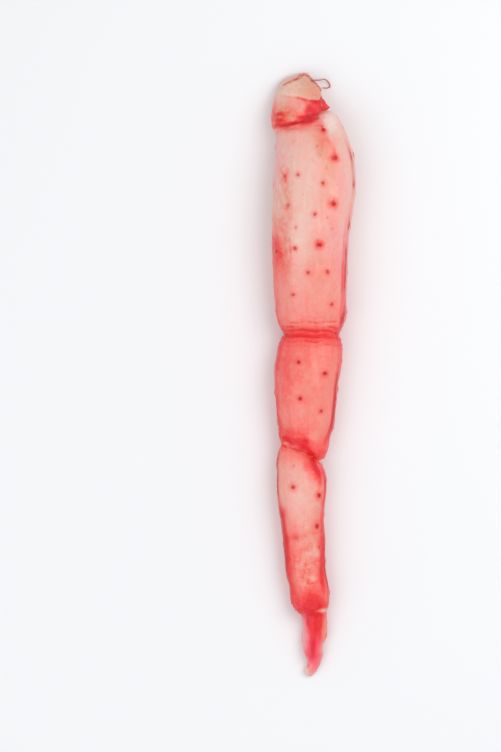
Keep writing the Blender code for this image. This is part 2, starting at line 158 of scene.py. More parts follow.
@dataclass(frozen=True)
class Muscle:
    """One segment's muscle, by its cross-sections in millimetres.

    Each station is the distance along the leg, the middle's place to the side, the width, the
    height, and the level of the lowest point.
    """

    name: str
    stations: tuple[tuple[float, float, float, float, float], ...]
    belly_level: float = 0.43
    top_power: float = 2.15
    under_power: float = 2.7
    lump_height: float = 0.7
    lump_spacing: float = 21.0
    ring_spacing: float = 1.6
    sides: int = 72
    tip_reach: float = 0.4

    @property
    def start(self) -> float:
        """Where the muscle starts along the leg."""
        return self.stations[0][0]

    @property
    def end(self) -> float:
        """Where the muscle ends along the leg."""
        return self.stations[-1][0]

    def section(self, along: np.ndarray) -> tuple[np.ndarray, ...]:
        """The side, width, height and bottom of the cross-sections at some distances."""
        columns = list(zip(*self.stations))
        return tuple(smooth_through(columns[0], column, along) for column in columns[1:])

    def lump(self, point: Vector) -> float:
        """Height in millimetres of the flesh's broad unevenness at a point."""
        return self.lump_height * noise.noise(point / (self.lump_spacing * MM))

    def around(self, along: float, turns: list[float], leg: LegFrame) -> list[Vector]:
        """Points of the skin on one cross-section.

        Args:
            along: Millimetres along the leg.
            turns: Their turns in radians, from the right-hand edge over the top.
            leg: The leg's frame.

        Returns:
            The points in metres.
        """
        side, width, height, bottom = (float(value) for value in self.section(along))
        belly = bottom + self.belly_level * height
        points = []
        for turn in turns:
            upper = math.sin(turn) >= 0
            reach = bottom + height - belly if upper else belly - bottom
            power = 2 / (self.top_power if upper else self.under_power)
            across = width / 2 * math.copysign(abs(math.cos(turn)) ** power, math.cos(turn))
            up = reach * math.copysign(abs(math.sin(turn)) ** power, math.sin(turn))
            point = leg.place(along, side + across, belly + up)
            outward = Vector((across / (width / 2) ** 2, 0.0, up / reach**2)).normalized()
            points.append(point + outward * self.lump(point) * MM)
        return points

    def outline(self, along: float, leg: LegFrame) -> list[Vector]:
        """The points of a whole cross-section, evenly turned."""
        return self.around(along, [math.tau * k / self.sides for k in range(self.sides)], leg)

    def level(self, along: float, side: float, leg: LegFrame) -> float:
        """Finds how high the muscle's upper skin lies over a place.

        Args:
            along: Millimetres along the leg.
            side: Millimetres to the side.
            leg: The leg's own axes.

        Returns:
            The level in millimetres.
        """
        middle, width, height, bottom = (float(value) for value in self.section(along))
        share = min(abs(side - middle) / (width / 2), 1.0)
        belly = bottom + self.belly_level * height
        rise = (1 - share**self.top_power) ** (1 / self.top_power)
        level = belly + (bottom + height - belly) * rise
        return level + self.lump(leg.place(along, side, level))

    def shell(self, leg: LegFrame) -> "Shell":
        """Builds the muscle, with rings closer near its ends.

        Args:
            leg: The leg's own axes.

        Returns:
            The muscle as a closed shell.
        """
        reach = self.end - self.start
        rings = int(reach / self.ring_spacing) + 8
        shares = [(1 - math.cos(math.pi * row / (rings - 1))) / 2 for row in range(rings)]
        loops = [self.outline(self.start + reach * share, leg) for share in shares]
        tips = []
        for loop, outward in ((loops[0], 1), (loops[-1], -1)):
            middle = sum(loop, Vector()) / len(loop)
            tips.append(middle + Vector((0.0, outward * self.tip_reach * MM, 0.0)))
        return Shell.loft(loops, tips[0], tips[1])


@dataclass(frozen=True)
class Shell:
    """A closed surface: its points in metres, and its faces."""

    points: list[Vector]
    faces: list[tuple[int, ...]]

    @classmethod
    def loft(cls, loops: list[list[Vector]], first_tip: Vector, last_tip: Vector) -> "Shell":
        """Skins a row of loops.

        Args:
            loops: Loops with the same number of points.
            first_tip: The point before the first loop.
            last_tip: The point after the last loop.

        Returns:
            The closed shell.
        """
        sides = len(loops[0])
        points = [point for loop in loops for point in loop]
        faces = []
        for row in range(len(loops) - 1):
            for k in range(sides):
                a = row * sides + k
                b = row * sides + (k + 1) % sides
                faces.append((a, b, b + sides, a + sides))
        points += [first_tip, last_tip]
        last = (len(loops) - 1) * sides
        for k in range(sides):
            after = (k + 1) % sides
            faces.append((len(points) - 2, after, k))
            faces.append((len(points) - 1, last + k, last + after))
        return cls(points, faces)

    @classmethod
    def tube(cls, route: list[Vector], radii: list[float], sides: int, flat: float = 1.0) -> "Shell":
        """A strand along a route.

        Args:
            route: The strand's middle, in metres.
            radii: Its radius at each point of the route, in metres.
            sides: How many sides it has.
            flat: Its height, as a share of its width.

        Returns:
            The closed strand, with a short tip at each end.
        """
        loops = []
        across = Vector((0.3, 0.1, 1.0))
        for k, point in enumerate(route):
            ahead = route[min(k + 1, len(route) - 1)] - route[max(k - 1, 0)]
            ahead.normalize()
            across = (across - ahead * across.dot(ahead)).normalized()
            beside = ahead.cross(across)
            turns = [math.tau * j / sides for j in range(sides)]
            ring = [across * math.cos(t) * flat + beside * math.sin(t) for t in turns]
            loops.append([point + reach * radii[k] for reach in ring])
        tips = []
        for here, inner, radius in ((route[0], route[1], radii[0]), (route[-1], route[-2], radii[-1])):
            tips.append(here + (here - inner).normalized() * radius * 0.6)
        return cls.loft(loops, tips[0], tips[1])


def mesh_object(name: str, shells: list[Shell]) -> bpy.types.Object:
    """Makes a mesh object from shells, with its faces pointing outwards.

    Args:
        name: The object's name.
        shells: The closed surfaces that it holds.

    Returns:
        The object, linked to the scene.
    """
    points: list[tuple[float, ...]] = []
    faces: list[tuple[int, ...]] = []
    for shell in shells:
        first = len(points)
        points += [tuple(point) for point in shell.points]
        faces += [tuple(first + index for index in face) for face in shell.faces]
    mesh = bpy.data.meshes.new(name)
    mesh.from_pydata(points, [], faces)
    tidy = bmesh.new()
    tidy.from_mesh(mesh)
    bmesh.ops.recalc_face_normals(tidy, faces=tidy.faces)
    tidy.to_mesh(mesh)
    tidy.free()
    made = bpy.data.objects.new(name, mesh)
    bpy.context.scene.collection.objects.link(made)
    return made


def with_modifiers_applied(made: bpy.types.Object) -> bpy.types.Object:
    """Bakes an object's modifiers into its mesh.

    Args:
        made: The object.

    Returns:
        The same object, without modifiers.
    """
    bpy.context.view_layer.update()
    graph = bpy.context.evaluated_depsgraph_get()
    mesh = bpy.data.meshes.new_from_object(made.evaluated_get(graph))
    made.modifiers.clear()
    made.data = mesh
    mesh.name = made.name
    return made


def read_points(mesh: bpy.types.Mesh) -> np.ndarray:
    """Reads a mesh's points.

    Args:
        mesh: The mesh.

    Returns:
        The points in metres, one a row.
    """
    values = np.empty(len(mesh.vertices) * 3, np.float32)
    mesh.vertices.foreach_get("co", values)
    return values.reshape(-1, 3).astype(float)


def read_normals(mesh: bpy.types.Mesh) -> np.ndarray:
    """Reads the normals at a mesh's points.

    Args:
        mesh: The mesh.

    Returns:
        The normals, one a row.
    """
    values = np.empty(len(mesh.vertices) * 3, np.float32)
    mesh.vertex_normals.foreach_get("vector", values)
    return values.reshape(-1, 3).astype(float)


def paint(mesh: bpy.types.Mesh, field: Field, values: np.ndarray) -> None:
    """Stores a painted field on the mesh's points."""
    layer = mesh.attributes.new(field.value, "FLOAT", "POINT")
    layer.data.foreach_set("value", np.asarray(values, np.float32))


def along_route(route: tuple[tuple[float, ...], ...], count: int) -> list[np.ndarray]:
    """Follows a smooth line through a route's own points.

    Args:
        route: The points, of any number of values.
        count: How many points are wanted.

    Returns:
        Points at even steps of the line.
    """
    knots = np.arange(len(route))
    where = np.linspace(0, len(route) - 1, count)
    columns = [smooth_through(knots, column, where) for column in zip(*route)]
    return [np.array(point) for point in zip(*columns)]


# Form of the leg


@dataclass(frozen=True)
class LegForm:
    """The five muscles in a row, and where the skin over them lies."""

    leg: LegFrame = LegFrame()
    slope_step: float = 0.8
    reach_past: float = 1.0
    blend_power: int = 6
    basal_stub: Muscle = Muscle(
        "basal_stub",
        (
            (0.4, -5.5, 5.0, 4.0, 0.0),
            (3.5, -8.8, 15.6, 8.5, -0.5),
            (6.0, -9.3, 21.3, 12.0, -1.0),
            (10.0, -8.7, 25.0, 15.5, -1.2),
            (17.0, -9.4, 28.2, 19.5, -1.5),
            (24.3, -10.3, 28.8, 23.0, -1.5),
            (29.5, -10.9, 27.6, 23.5, -1.0),
            (33.6, -11.3, 24.0, 20.5, 1.0),
            (38.2, -11.6, 12.0, 10.0, 5.0),
        ),
    )
    merus: Muscle = Muscle(
        "merus",
        (
            (22.6, 6.7, 5.0, 8.0, 6.0),
            (24.9, 5.3, 14.2, 16.0, 3.0),
            (28.9, 1.3, 28.0, 24.0, 0.0),
            (33.6, -1.6, 39.0, 29.0, -1.5),
            (40.5, -0.2, 42.0, 32.0, -2.0),
            (50.9, 0.6, 45.6, 34.5, -2.5),
            (68.0, 0.3, 47.8, 36.5, -2.5),
            (85.6, -1.3, 46.0, 36.0, -2.5),
            (104.4, -2.25, 43.5, 34.5, -2.5),
            (126.0, -2.1, 42.0, 32.0, -2.0),
            (139.4, -1.5, 41.0, 29.5, -1.5),
            (146.4, -1.5, 36.9, 26.0, -0.5),
            (151.6, -1.4, 30.7, 21.0, 1.0),
            (155.6, -1.2, 22.0, 14.0, 3.5),
            (158.5, -0.6, 10.0, 6.0, 7.0),
        ),
    )
    carpus: Muscle = Muscle(
        "carpus",
        (
            (144.6, 0.0, 13.9, 8.0, 6.0),
            (148.1, -0.9, 24.9, 16.0, 3.0),
            (153.3, -1.7, 33.0, 22.0, 1.0),
            (160.8, -2.3, 37.6, 25.5, -1.5),
            (170.1, -3.2, 38.8, 27.2, -2.0),
            (181.1, -4.2, 36.7, 27.0, -2.0),
            (192.6, -4.3, 34.7, 25.5, -2.0),
            (204.2, -4.2, 32.1, 23.5, -1.5),
            (211.2, -5.1, 29.5, 22.0, -0.5),
            (216.4, -4.2, 26.3, 19.5, 1.0),
            (220.4, 0.7, 14.1, 15.0, 3.0),
            (223.9, 3.6, 4.9, 8.0, 5.0),
        ),
    )
    propodus: Muscle = Muscle(
        "propodus",
        (
            (213.6, -14.0, 6.0, 6.0, 6.0),
            (217.5, -12.5, 13.9, 13.0, 3.0),
            (221.6, -11.2, 19.2, 18.0, 0.5),
            (226.8, -8.8, 26.3, 21.0, -1.0),
            (233.7, -7.4, 28.5, 23.0, -1.5),
            (240.1, -7.3, 28.6, 23.5, -2.0),
            (249.3, -7.4, 27.6, 23.0, -2.0),
            (259.2, -6.8, 25.0, 22.0, -2.0),
            (273.6, -5.8, 24.1, 20.5, -2.0),
            (288.1, -4.7, 23.4, 19.5, -1.5),
            (299.7, -2.7, 22.0, 18.5, -1.5),
            (306.6, -2.3, 21.8, 17.0, -1.0),
            (311.2, -1.7, 18.5, 14.0, 0.0),
            (314.1, -1.2, 12.7, 10.0, 1.5),
            (315.9, -0.6, 5.8, 5.0, 3.5),
        ),
    )
    dactyl: Muscle = Muscle(
        "dactyl",
        (
            (300.8, -0.6, 8.0, 7.0, 3.0),
            (305.5, -0.6, 12.7, 11.5, 1.0),
            (312.4, -0.2, 14.2, 12.5, -1.0),
            (320.5, 0.8, 13.9, 11.5, -1.0),
            (326.9, 0.3, 14.3, 11.0, -1.0),
            (331.5, -0.6, 11.2, 10.5, -1.0),
            (336.7, 0.0, 10.9, 9.5, -0.7),
            (341.4, 0.4, 7.5, 7.8, -0.5),
            (346.2, -1.7, 7.4, 6.5, -0.4),
            (349.6, -2.2, 3.4, 3.0, 0.2),
        ),
        ring_spacing=1.2,
        sides=48,
    )

    @property
    def muscles(self) -> tuple[Muscle, ...]:
        """The muscles, from the body end to the tip."""
        return (self.basal_stub, self.merus, self.carpus, self.propodus, self.dactyl)

    def level(self, along: float, side: float) -> float:
        """Level in millimetres of the leg's upper skin over a place."""
        over = [muscle for muscle in self.muscles if muscle.start <= along <= muscle.end]
        return max(muscle.level(along, side, self.leg) for muscle in over)

    def skin_point(self, along: float, side: float, sink: float = 0.0) -> Vector:
        """Finds a point on the upper skin or under it.

        Args:
            along: Millimetres along the leg.
            side: Millimetres to the side.
            sink: Millimetres under the skin.

        Returns:
            The point in metres.
        """
        step = self.slope_step
        here = self.level(along, side)
        slope_x = (self.level(along, side + step) - here) / step
        slope_y = (self.level(along - step, side) - here) / step
        normal = Vector((-slope_x, -slope_y, 1.0)).normalized()
        return self.leg.place(along, side, here) - normal * sink * MM

    def around(self, points: np.ndarray) -> tuple[np.ndarray, np.ndarray]:
        """Where points lie round the leg's own middle line.

        Args:
            points: Points in metres.

        Returns:
            How far each is across, from -1 at the left edge to 1 at the right one, and how far
            up, from -1 at the underside to 1 at the top.
        """
        along = self.leg.along(points)
        total = np.zeros(len(points))
        blended = np.zeros((4, len(points)))
        for muscle in self.muscles:
            inside = (along >= muscle.start - self.reach_past) & (along <= muscle.end + self.reach_past)
            section = np.array(muscle.section(along))
            weight = np.where(inside, section[1], 0.0) ** self.blend_power + TINY
            total += weight
            blended += section * weight
        side, width, height, bottom = blended / total
        belly = bottom + self.merus.belly_level * height
        x = (self.leg.side(points) - side) / (width / 2)
        z = (points[:, 2] / MM - belly) / (height / 2)
        turn = np.arctan2(z, x)
        return np.cos(turn), np.sin(turn)


@dataclass(frozen=True)
class Spot:
    """A red spot where a spine of the shell stood.

    Args:
        along: Millimetres along the leg.
        side: Millimetres to the side.
        radius: Radius in millimetres of its dark middle.
        tone: How strong it is, from 0 to 1.
    """

    along: float
    side: float
    radius: float
    tone: float

    @classmethod
    def rows(cls, *rows: tuple[float, ...]) -> "tuple[Spot, ...]":
        """Spots from rows of their values."""
        return tuple(cls(*row) for row in rows)


@dataclass(frozen=True)
class Spots:
    """All the spots: those that show from above, and rows of them on the flanks."""

    form: LegForm
    shown: tuple[Spot, ...] = Spot.rows(
        (34.1, 5.2, 1.4, 0.95), (31.8, 4.4, 1.0, 0.74), (43.4, 1.7, 1.0, 0.35), (48.8, 3.7, 1.0, 0.35),
        (50.2, 11.7, 1.7, 1.00), (40.8, -11.7, 1.0, 0.22), (51.4, -0.7, 0.6, 0.28),
        (56.1, 7.0, 0.7, 0.34), (60.8, -16.8, 1.3, 0.66), (59.8, -9.3, 1.2, 0.64),
        (64.8, 5.2, 1.4, 0.70), (65.4, 13.3, 0.6, 0.30), (71.2, -6.5, 0.6, 0.26),
        (77.5, -15.0, 1.5, 0.55), (76.4, 11.0, 1.8, 1.00), (82.7, 0.4, 1.3, 0.70),
        (84.6, 7.5, 0.6, 0.42), (96.7, -14.6, 0.6, 0.40), (90.3, -10.6, 1.1, 0.45),
        (90.9, 10.2, 1.1, 0.38), (100.2, 3.0, 1.7, 1.00), (102.3, -11.0, 1.3, 0.70),
        (104.0, -21.6, 1.7, 1.00), (116.4, -3.3, 1.4, 0.70), (115.8, 7.6, 1.4, 0.76),
        (134.5, 10.0, 1.4, 0.70), (129.0, -12.0, 1.3, 0.70), (168.0, -9.0, 1.3, 0.80),
        (174.5, 6.0, 1.5, 0.90), (189.0, -8.0, 1.4, 0.85), (196.0, 4.0, 1.4, 0.70),
        (228.0, -11.7, 1.0, 0.40), (240.1, -12.1, 1.5, 0.76), (245.0, 3.0, 1.6, 0.95),
        (262.7, 1.6, 1.8, 0.80), (269.5, -10.1, 1.4, 0.50), (274.8, 3.1, 1.1, 0.65),
        (287.5, -3.0, 1.1, 0.22),
    )
    flank_turns: tuple[float, ...] = (-14.0, 4.0, 176.0, 194.0)
    flank_spacing: float = 21.0
    flank_radius: float = 1.4
    flank_starts: Span = (0.35, 0.65)
    flank_tone: float = 0.7
    flank_shake: float = 0.5
    flank_turn: float = 12.0
    flank_growth: float = 0.7
    flank_fade: float = 0.6
    least_level: float = 4.0
    farthest: float = 9.0
    mound_height: float = 0.30
    mound_reach: float = 1.15
    pit_depth: float = 0.07
    pit_reach: float = 0.42

    def on_flanks(self) -> list[tuple[Vector, float, float]]:
        """Spreads spots over the flanks.

        Returns:
            Each spot's middle in metres, radius in millimetres and tone.
        """
        found = []
        for number, muscle in enumerate((self.form.merus, self.form.carpus, self.form.propodus)):
            start = muscle.stations[2][0]
            reach = muscle.stations[-3][0] - start
            count = int(reach / self.flank_spacing)
            for row, turn in enumerate(self.flank_turns):
                for k in range(count):
                    seeds = [(k * 3.7 + 0.5, row * 2.3 + 0.5, number + pick / 3) for pick in range(4)]
                    vary = [noise.noise(Vector(seed)) for seed in seeds]
                    place = k + self.flank_starts[row % 2] + self.flank_shake * vary[0]
                    turned = math.radians(turn + self.flank_turn * vary[1])
                    point = muscle.around(start + reach * place / count, [turned], self.form.leg)[0]
                    if point.z > self.least_level * MM:
                        radius = self.flank_radius * (1 + self.flank_growth * vary[2])
                        tone = min(self.flank_tone + self.flank_fade * vary[3], 1.0)
                        found.append((point, radius, tone))
        return found

    def middles(self) -> list[tuple[Vector, float, float]]:
        """Middle in metres, radius in millimetres and tone of every spot."""
        shown = [(self.form.skin_point(s.along, s.side), s.radius, s.tone) for s in self.shown]
        return shown + self.on_flanks()

    def measure(self, points: np.ndarray) -> tuple[np.ndarray, np.ndarray, np.ndarray]:
        """Measures points against the spots.

        Args:
            points: Points in metres.

        Returns:
            The distance to the nearest spot in its radii, that spot's tone, and the height in
            millimetres of the low mounds that the spots stand on.
        """
        nearest = np.full(len(points), self.farthest)
        tones = np.zeros(len(points))
        mounds = np.zeros(len(points))
        for middle, radius, tone in self.middles():
            apart = np.linalg.norm(points - np.array(middle), axis=1) / MM / radius
            closer = apart < nearest
            nearest = np.where(closer, apart, nearest)
            tones = np.where(closer, tone, tones)
            swell = np.exp(-((apart / self.mound_reach) ** 2))
            pit = np.exp(-((apart / self.pit_reach) ** 2))
            mounds += radius * (self.mound_height * swell - self.pit_depth * pit)
        return nearest, tones, mounds


@dataclass(frozen=True)
class Fold:
    """A crease of skin that lies across a joint: (along, side) points, and its radius."""

    name: str
    route: Profile
    radius: float


@dataclass(frozen=True)
class Joint:
    """A joint where the skin is wrinkled, along a straight line across the leg.

    Args:
        along: Where the line crosses the leg's middle, in millimetres.
        slope: Millimetres along for each millimetre to the right.
        reach: How far from the line the wrinkles run out.
        height: How high they are.
        spacing: How far apart they are.
    """

    along: float
    slope: float
    reach: float
    height: float
    spacing: float


@dataclass(frozen=True)
class JointSkin:
    """The folded and wrinkled skin round the joints."""

    form: LegForm
    samples: int = 40
    sides: int = 10
    sink: float = 0.35
    end_share: float = 0.5
    uneven: float = 0.18
    waver: float = 3.5
    broken: float = 0.4
    waver_spacing: Triple = (0.009, 0.006, 0.009)
    broken_spacing: Triple = (0.005, 0.010, 0.006)
    folds: tuple[Fold, ...] = (
        Fold("stub_rim", ((33.0, -23.2), (32.0, -13.0), (30.2, -6.0), (29.2, 3.0)), 1.3),
        Fold("stub_band", ((29.2, -22.5), (28.0, -15.0), (27.6, -7.0), (26.2, 1.0)), 1.1),
        Fold("knee_near", ((144.0, -19.0), (146.8, -9.0), (147.2, 5.0), (144.4, 16.0)), 1.4),
        Fold("knee_middle", ((150.0, -16.5), (151.2, -4.0), (151.8, 6.0), (149.2, 14.5)), 1.6),
        Fold("knee_far", ((156.5, -19.0), (154.2, -9.0), (155.2, 4.0), (157.0, 15.0)), 1.3),
        Fold("wrist_left", ((210.0, -18.4), (213.0, -17.6), (216.0, -17.8), (219.5, -18.8)), 2.0),
        Fold("wrist_near", ((208.5, -19.5), (210.5, -12.5), (211.5, -5.0), (215.0, 3.0)), 1.2),
        Fold("wrist_far", ((215.5, -18.0), (216.5, -10.0), (221.5, -3.0), (233.0, 4.2)), 1.4),
        Fold("ankle", ((307.5, -11.0), (310.0, -4.0), (310.8, 3.0), (308.5, 7.5)), 1.2),
    )
    joints: tuple[Joint, ...] = (
        Joint(29.5, -0.10, 4.0, 0.20, 2.3),
        Joint(151.0, 0.03, 9.0, 0.45, 2.7),
        Joint(221.0, 0.62, 6.0, 0.26, 2.4),
        Joint(311.0, 0.0, 5.0, 0.25, 2.0),
    )

    def shells(self) -> list[Shell]:
        """Builds the folds, half sunk into what they lie on.

        Returns:
            A closed strand for each fold.
        """
        made = []
        for fold in self.folds:
            route = []
            radii = []
            for k, spot in enumerate(along_route(fold.route, self.samples)):
                share = k / (self.samples - 1)
                arch = math.sqrt(abs(math.sin(math.pi * share)))
                swell = self.end_share + (1 - self.end_share) * arch
                uneven = 1 + self.uneven * noise.noise(Vector((spot[0] / 3.0, spot[1] / 2.5, 7.0)))
                radius = fold.radius * swell * uneven
                radii.append(radius * MM)
                route.append(self.form.skin_point(spot[0], spot[1], fold.radius * self.sink))
            made.append(Shell.tube(route, radii, self.sides))
        return made

    def wrinkles(self, points: np.ndarray) -> np.ndarray:
        """Works out the wrinkles' relief.

        Args:
            points: Points in metres.

        Returns:
            A height in millimetres for each.
        """
        along = self.form.leg.along(points)
        side = self.form.leg.side(points)
        wander = noise_at(points, self.waver_spacing, 3.0)
        broken = 1 - self.broken + self.broken * noise_at(points, self.broken_spacing, 11.0)
        height = np.zeros(len(points))
        for joint in self.joints:
            off = along - (joint.along + joint.slope * side)
            fade = np.exp(-((off / joint.reach) ** 2))
            waves = np.sin(math.tau * off / joint.spacing + self.waver * wander)
            height += joint.height * fade * broken * waves
        return height


@dataclass(frozen=True)
class Hood:
    """The pale hood of skin that is folded over the torn body end."""

    form: LegForm
    outline: Profile = (
        (12.5, -19.5), (9.0, -18.6), (6.6, -15.0), (4.5, -9.8), (1.8, -5.6), (5.4, -1.5), (10.2, 3.4),
        (14.0, 4.2), (16.6, 3.0), (16.2, -3.0), (14.3, -9.5), (13.6, -15.0),
    )
    thickness: float = 1.5
    root: float = 4.0
    loops: Profile = ((1.0, 0.5), (0.88, 0.95), (0.45, 1.0))
    inset: float = 0.94

    def middle(self) -> np.ndarray:
        """The middle of the hood's outline."""
        return np.mean(np.array(self.outline), axis=0)

    def edge(self, samples: int = 60) -> np.ndarray:
        """Refines the hood's outline.

        Args:
            samples: How many points are wanted.

        Returns:
            Its points as (along, side), closed, one a row.
        """
        closed = np.array(self.outline + self.outline[:1])
        knots = np.arange(len(closed))
        where = np.linspace(0, len(closed) - 1, samples)
        return np.stack([np.interp(where, knots, closed[:, axis]) for axis in (0, 1)], axis=1)

    def shell(self) -> Shell:
        """Builds the hood as a pad that follows the stub's skin, with a stepped edge.

        Returns:
            The closed pad.
        """
        middle = self.middle()
        levels = [(1.0, -self.root)] + [(spread, rise * self.thickness) for spread, rise in self.loops]
        loops = []
        for spread, level in levels:
            loop = []
            for spot in self.edge()[:-1]:
                reach = spot - middle
                under = middle + reach * min(spread, self.inset)
                at = middle + reach * spread
                loop.append(self.form.leg.place(at[0], at[1], self.form.level(*under) + level))
            loops.append(loop)
        base = self.form.level(*middle)
        low = self.form.leg.place(*middle, base - self.root)
        high = self.form.leg.place(*middle, base + self.thickness)
        return Shell.loft(loops, low, high)

    def cover(self, along: np.ndarray, side: np.ndarray) -> np.ndarray:
        """Measures how far places lie inside the hood's outline.

        Args:
            along: Millimetres along the leg.
            side: Millimetres to the side.

        Returns:
            Millimetres for each place, below 0 outside the outline.
        """
        edge = self.edge()
        inside = np.zeros(len(along), bool)
        nearest = np.full(len(along), FAR)
        for first, last in zip(edge[:-1], edge[1:]):
            crosses = (first[0] > along) != (last[0] > along)
            run = last[0] - first[0]
            if abs(run) > TINY:
                meet = first[1] + (along - first[0]) / run * (last[1] - first[1])
                inside ^= crosses & (side < meet)
            nearest = np.minimum(nearest, distance_to_run(along, side, first, last)[0])
        return np.where(inside, nearest, -nearest)


def distance_to_run(
    along: np.ndarray, side: np.ndarray, first: np.ndarray, last: np.ndarray
) -> tuple[np.ndarray, np.ndarray]:
    """Distance of places to a straight run.

    Args:
        along: Millimetres along the leg.
        side: Millimetres to the side.
        first: The run's first point, as along and side.
        last: The run's last point.

    Returns:
        The distance to the run, and the share of the run at which it is nearest.
    """
    run = np.asarray(last, float) - np.asarray(first, float)
    share = ((along - first[0]) * run[0] + (side - first[1]) * run[1]) / max(run @ run, TINY)
    share = np.clip(share, 0.0, 1.0)
    return np.hypot(along - first[0] - share * run[0], side - first[1] - share * run[1]), share


# Paint


@dataclass(frozen=True)
class Patch:
    """A soft patch of paint on the shown side, in millimetres.

    Args:
        field: What it paints.
        along: Its middle, along the leg.
        side: Its middle, to the side.
        length: Half its length.
        width: Half its width.
        amount: How much it adds. It may be below 0.
        tilt: Millimetres that its middle line moves right for each millimetre along.
        soft: Power of its fall-off. A higher one has a firmer edge.
    """

    field: Field
    along: float
    side: float
    length: float
    width: float
    amount: float
    tilt: float = 0.0
    soft: float = 2.0

    @classmethod
    def rows(cls, field: Field, *rows: tuple[float, ...]) -> "tuple[Patch, ...]":
        """Patches of one field, from rows of their other values."""
        return tuple(cls(field, *row) for row in rows)

    def cover(self, along: np.ndarray, side: np.ndarray) -> np.ndarray:
        """Works out how much of the patch lies at some places.

        Args:
            along: Millimetres along the leg.
            side: Millimetres to the side.

        Returns:
            A share from 0 to 1 for each.
        """
        off = along - self.along
        beside = (side - self.side - self.tilt * off) / self.width
        return np.exp(-(np.hypot(off / self.length, beside) ** self.soft))


@dataclass(frozen=True)
class Stroke:
    """A line of paint on the shown side: a route of (along, side, amount), and half its width."""

    field: Field
    route: Route
    width: float
    refine: int = 6

    def on_skin(self, form: LegForm) -> tuple[np.ndarray, np.ndarray]:
        """Lays the line on the skin.

        Args:
            form: The leg's form.

        Returns:
            Its points in metres, and its amount at each.
        """
        route = along_route(self.route, self.refine * len(self.route))
        points = [form.skin_point(*spot[:2]) for spot in route]
        return np.array(points), np.array([spot[2] for spot in route])


@dataclass(frozen=True)
class Seam:
    """A dark seam on a flank, where the shell was hinged.

    Args:
        muscle: The name of the muscle that it runs along.
        route: Its points: millimetres along, the turn in degrees from the right-hand edge
            over the top, and how strong it is.
        width: Half its width in millimetres.
    """

    muscle: str
    route: Route
    width: float = 0.75
    refine: int = 14

    def on_skin(self, form: LegForm) -> tuple[np.ndarray, np.ndarray]:
        """Lays the seam on the skin.

        Args:
            form: The leg's form.

        Returns:
            Its points in metres, and its strength at each.
        """
        muscle = getattr(form, self.muscle)
        route = along_route(self.route, self.refine * len(self.route))
        points = [
            muscle.around(float(along), [math.radians(turn)], form.leg)[0] for along, turn, _ in route
        ]
        return np.array(points), np.array([spot[2] for spot in route])


@dataclass(frozen=True)
class Seams:
    """The dark seams along the leg's edges, with their knots."""

    form: LegForm
    ridge: float = 0.16
    ridge_reach: float = 1.4
    lines: tuple[Seam, ...] = (
        Seam(
            "merus",
            (
                (40.5, 28.0, 0.12), (44.0, 26.5, 0.42), (48.6, 25.0, 0.74), (52.0, 24.0, 0.55),
                (57.0, 23.0, 0.38), (61.5, 21.5, 0.45), (65.6, 21.0, 0.98), (68.6, 21.5, 0.25),
                (75.0, 21.0, 0.06), (82.0, 22.0, 0.25), (86.2, 21.0, 0.60), (89.1, 20.0, 1.05),
                (92.0, 20.0, 0.50), (97.0, 19.5, 0.34), (100.7, 19.5, 0.55), (104.5, 19.5, 1.00),
                (109.3, 20.0, 0.80), (114.0, 20.0, 0.90), (118.0, 20.0, 1.05), (123.8, 20.0, 1.05),
                (127.0, 20.5, 0.62), (133.0, 22.0, 0.40), (138.3, 24.0, 0.72), (142.0, 26.0, 1.00),
                (147.0, 22.0, 0.70),
            ),
            1.9,
        ),
        Seam(
            "carpus",
            (
                (170.0, 22.0, 0.3), (180.0, 20.0, 0.8), (192.0, 20.0, 1.0), (202.0, 21.0, 0.9),
                (209.0, 25.0, 0.3),
            ),
            2.0,
        ),
        Seam(
            "carpus",
            (
                (158.0, 160.0, 0.3), (170.0, 163.0, 0.6), (182.0, 160.0, 0.4), (196.0, 164.0, 0.7),
                (206.0, 160.0, 0.4),
            ),
        ),
        Seam(
            "propodus",
            (
                (221.0, 162.0, 0.40), (225.5, 166.0, 0.85), (231.0, 166.0, 0.65), (237.2, 166.0, 0.90),
                (242.0, 166.0, 0.90), (248.0, 165.0, 0.40), (256.0, 160.0, 0.75), (268.0, 158.0, 0.75),
                (280.0, 160.0, 0.85), (296.0, 160.0, 0.40),
            ),
            1.9,
        ),
        Seam(
            "propodus",
            (
                (232.0, 24.0, 0.40), (237.5, 20.0, 0.95), (243.0, 20.0, 0.45), (262.0, 22.0, 0.40),
                (277.0, 20.0, 0.80), (283.0, 20.0, 0.80), (289.0, 21.0, 0.95), (296.8, 18.0, 0.70),
                (302.0, 18.0, 0.30),
            ),
            1.2,
        ),
    )

    def relief(self, points: np.ndarray) -> np.ndarray:
        """Works out the low ridges that the seams lie on.

        Args:
            points: Points in metres.

        Returns:
            A height in millimetres for each.
        """
        height = np.zeros(len(points))
        for line in self.lines:
            apart, strength = measure_route(points, *line.on_skin(self.form), 4 * self.ridge_reach)
            fade = np.exp(-((apart / self.ridge_reach) ** 2))
            height = np.maximum(height, self.ridge * (0.4 + strength) * fade)
        return height


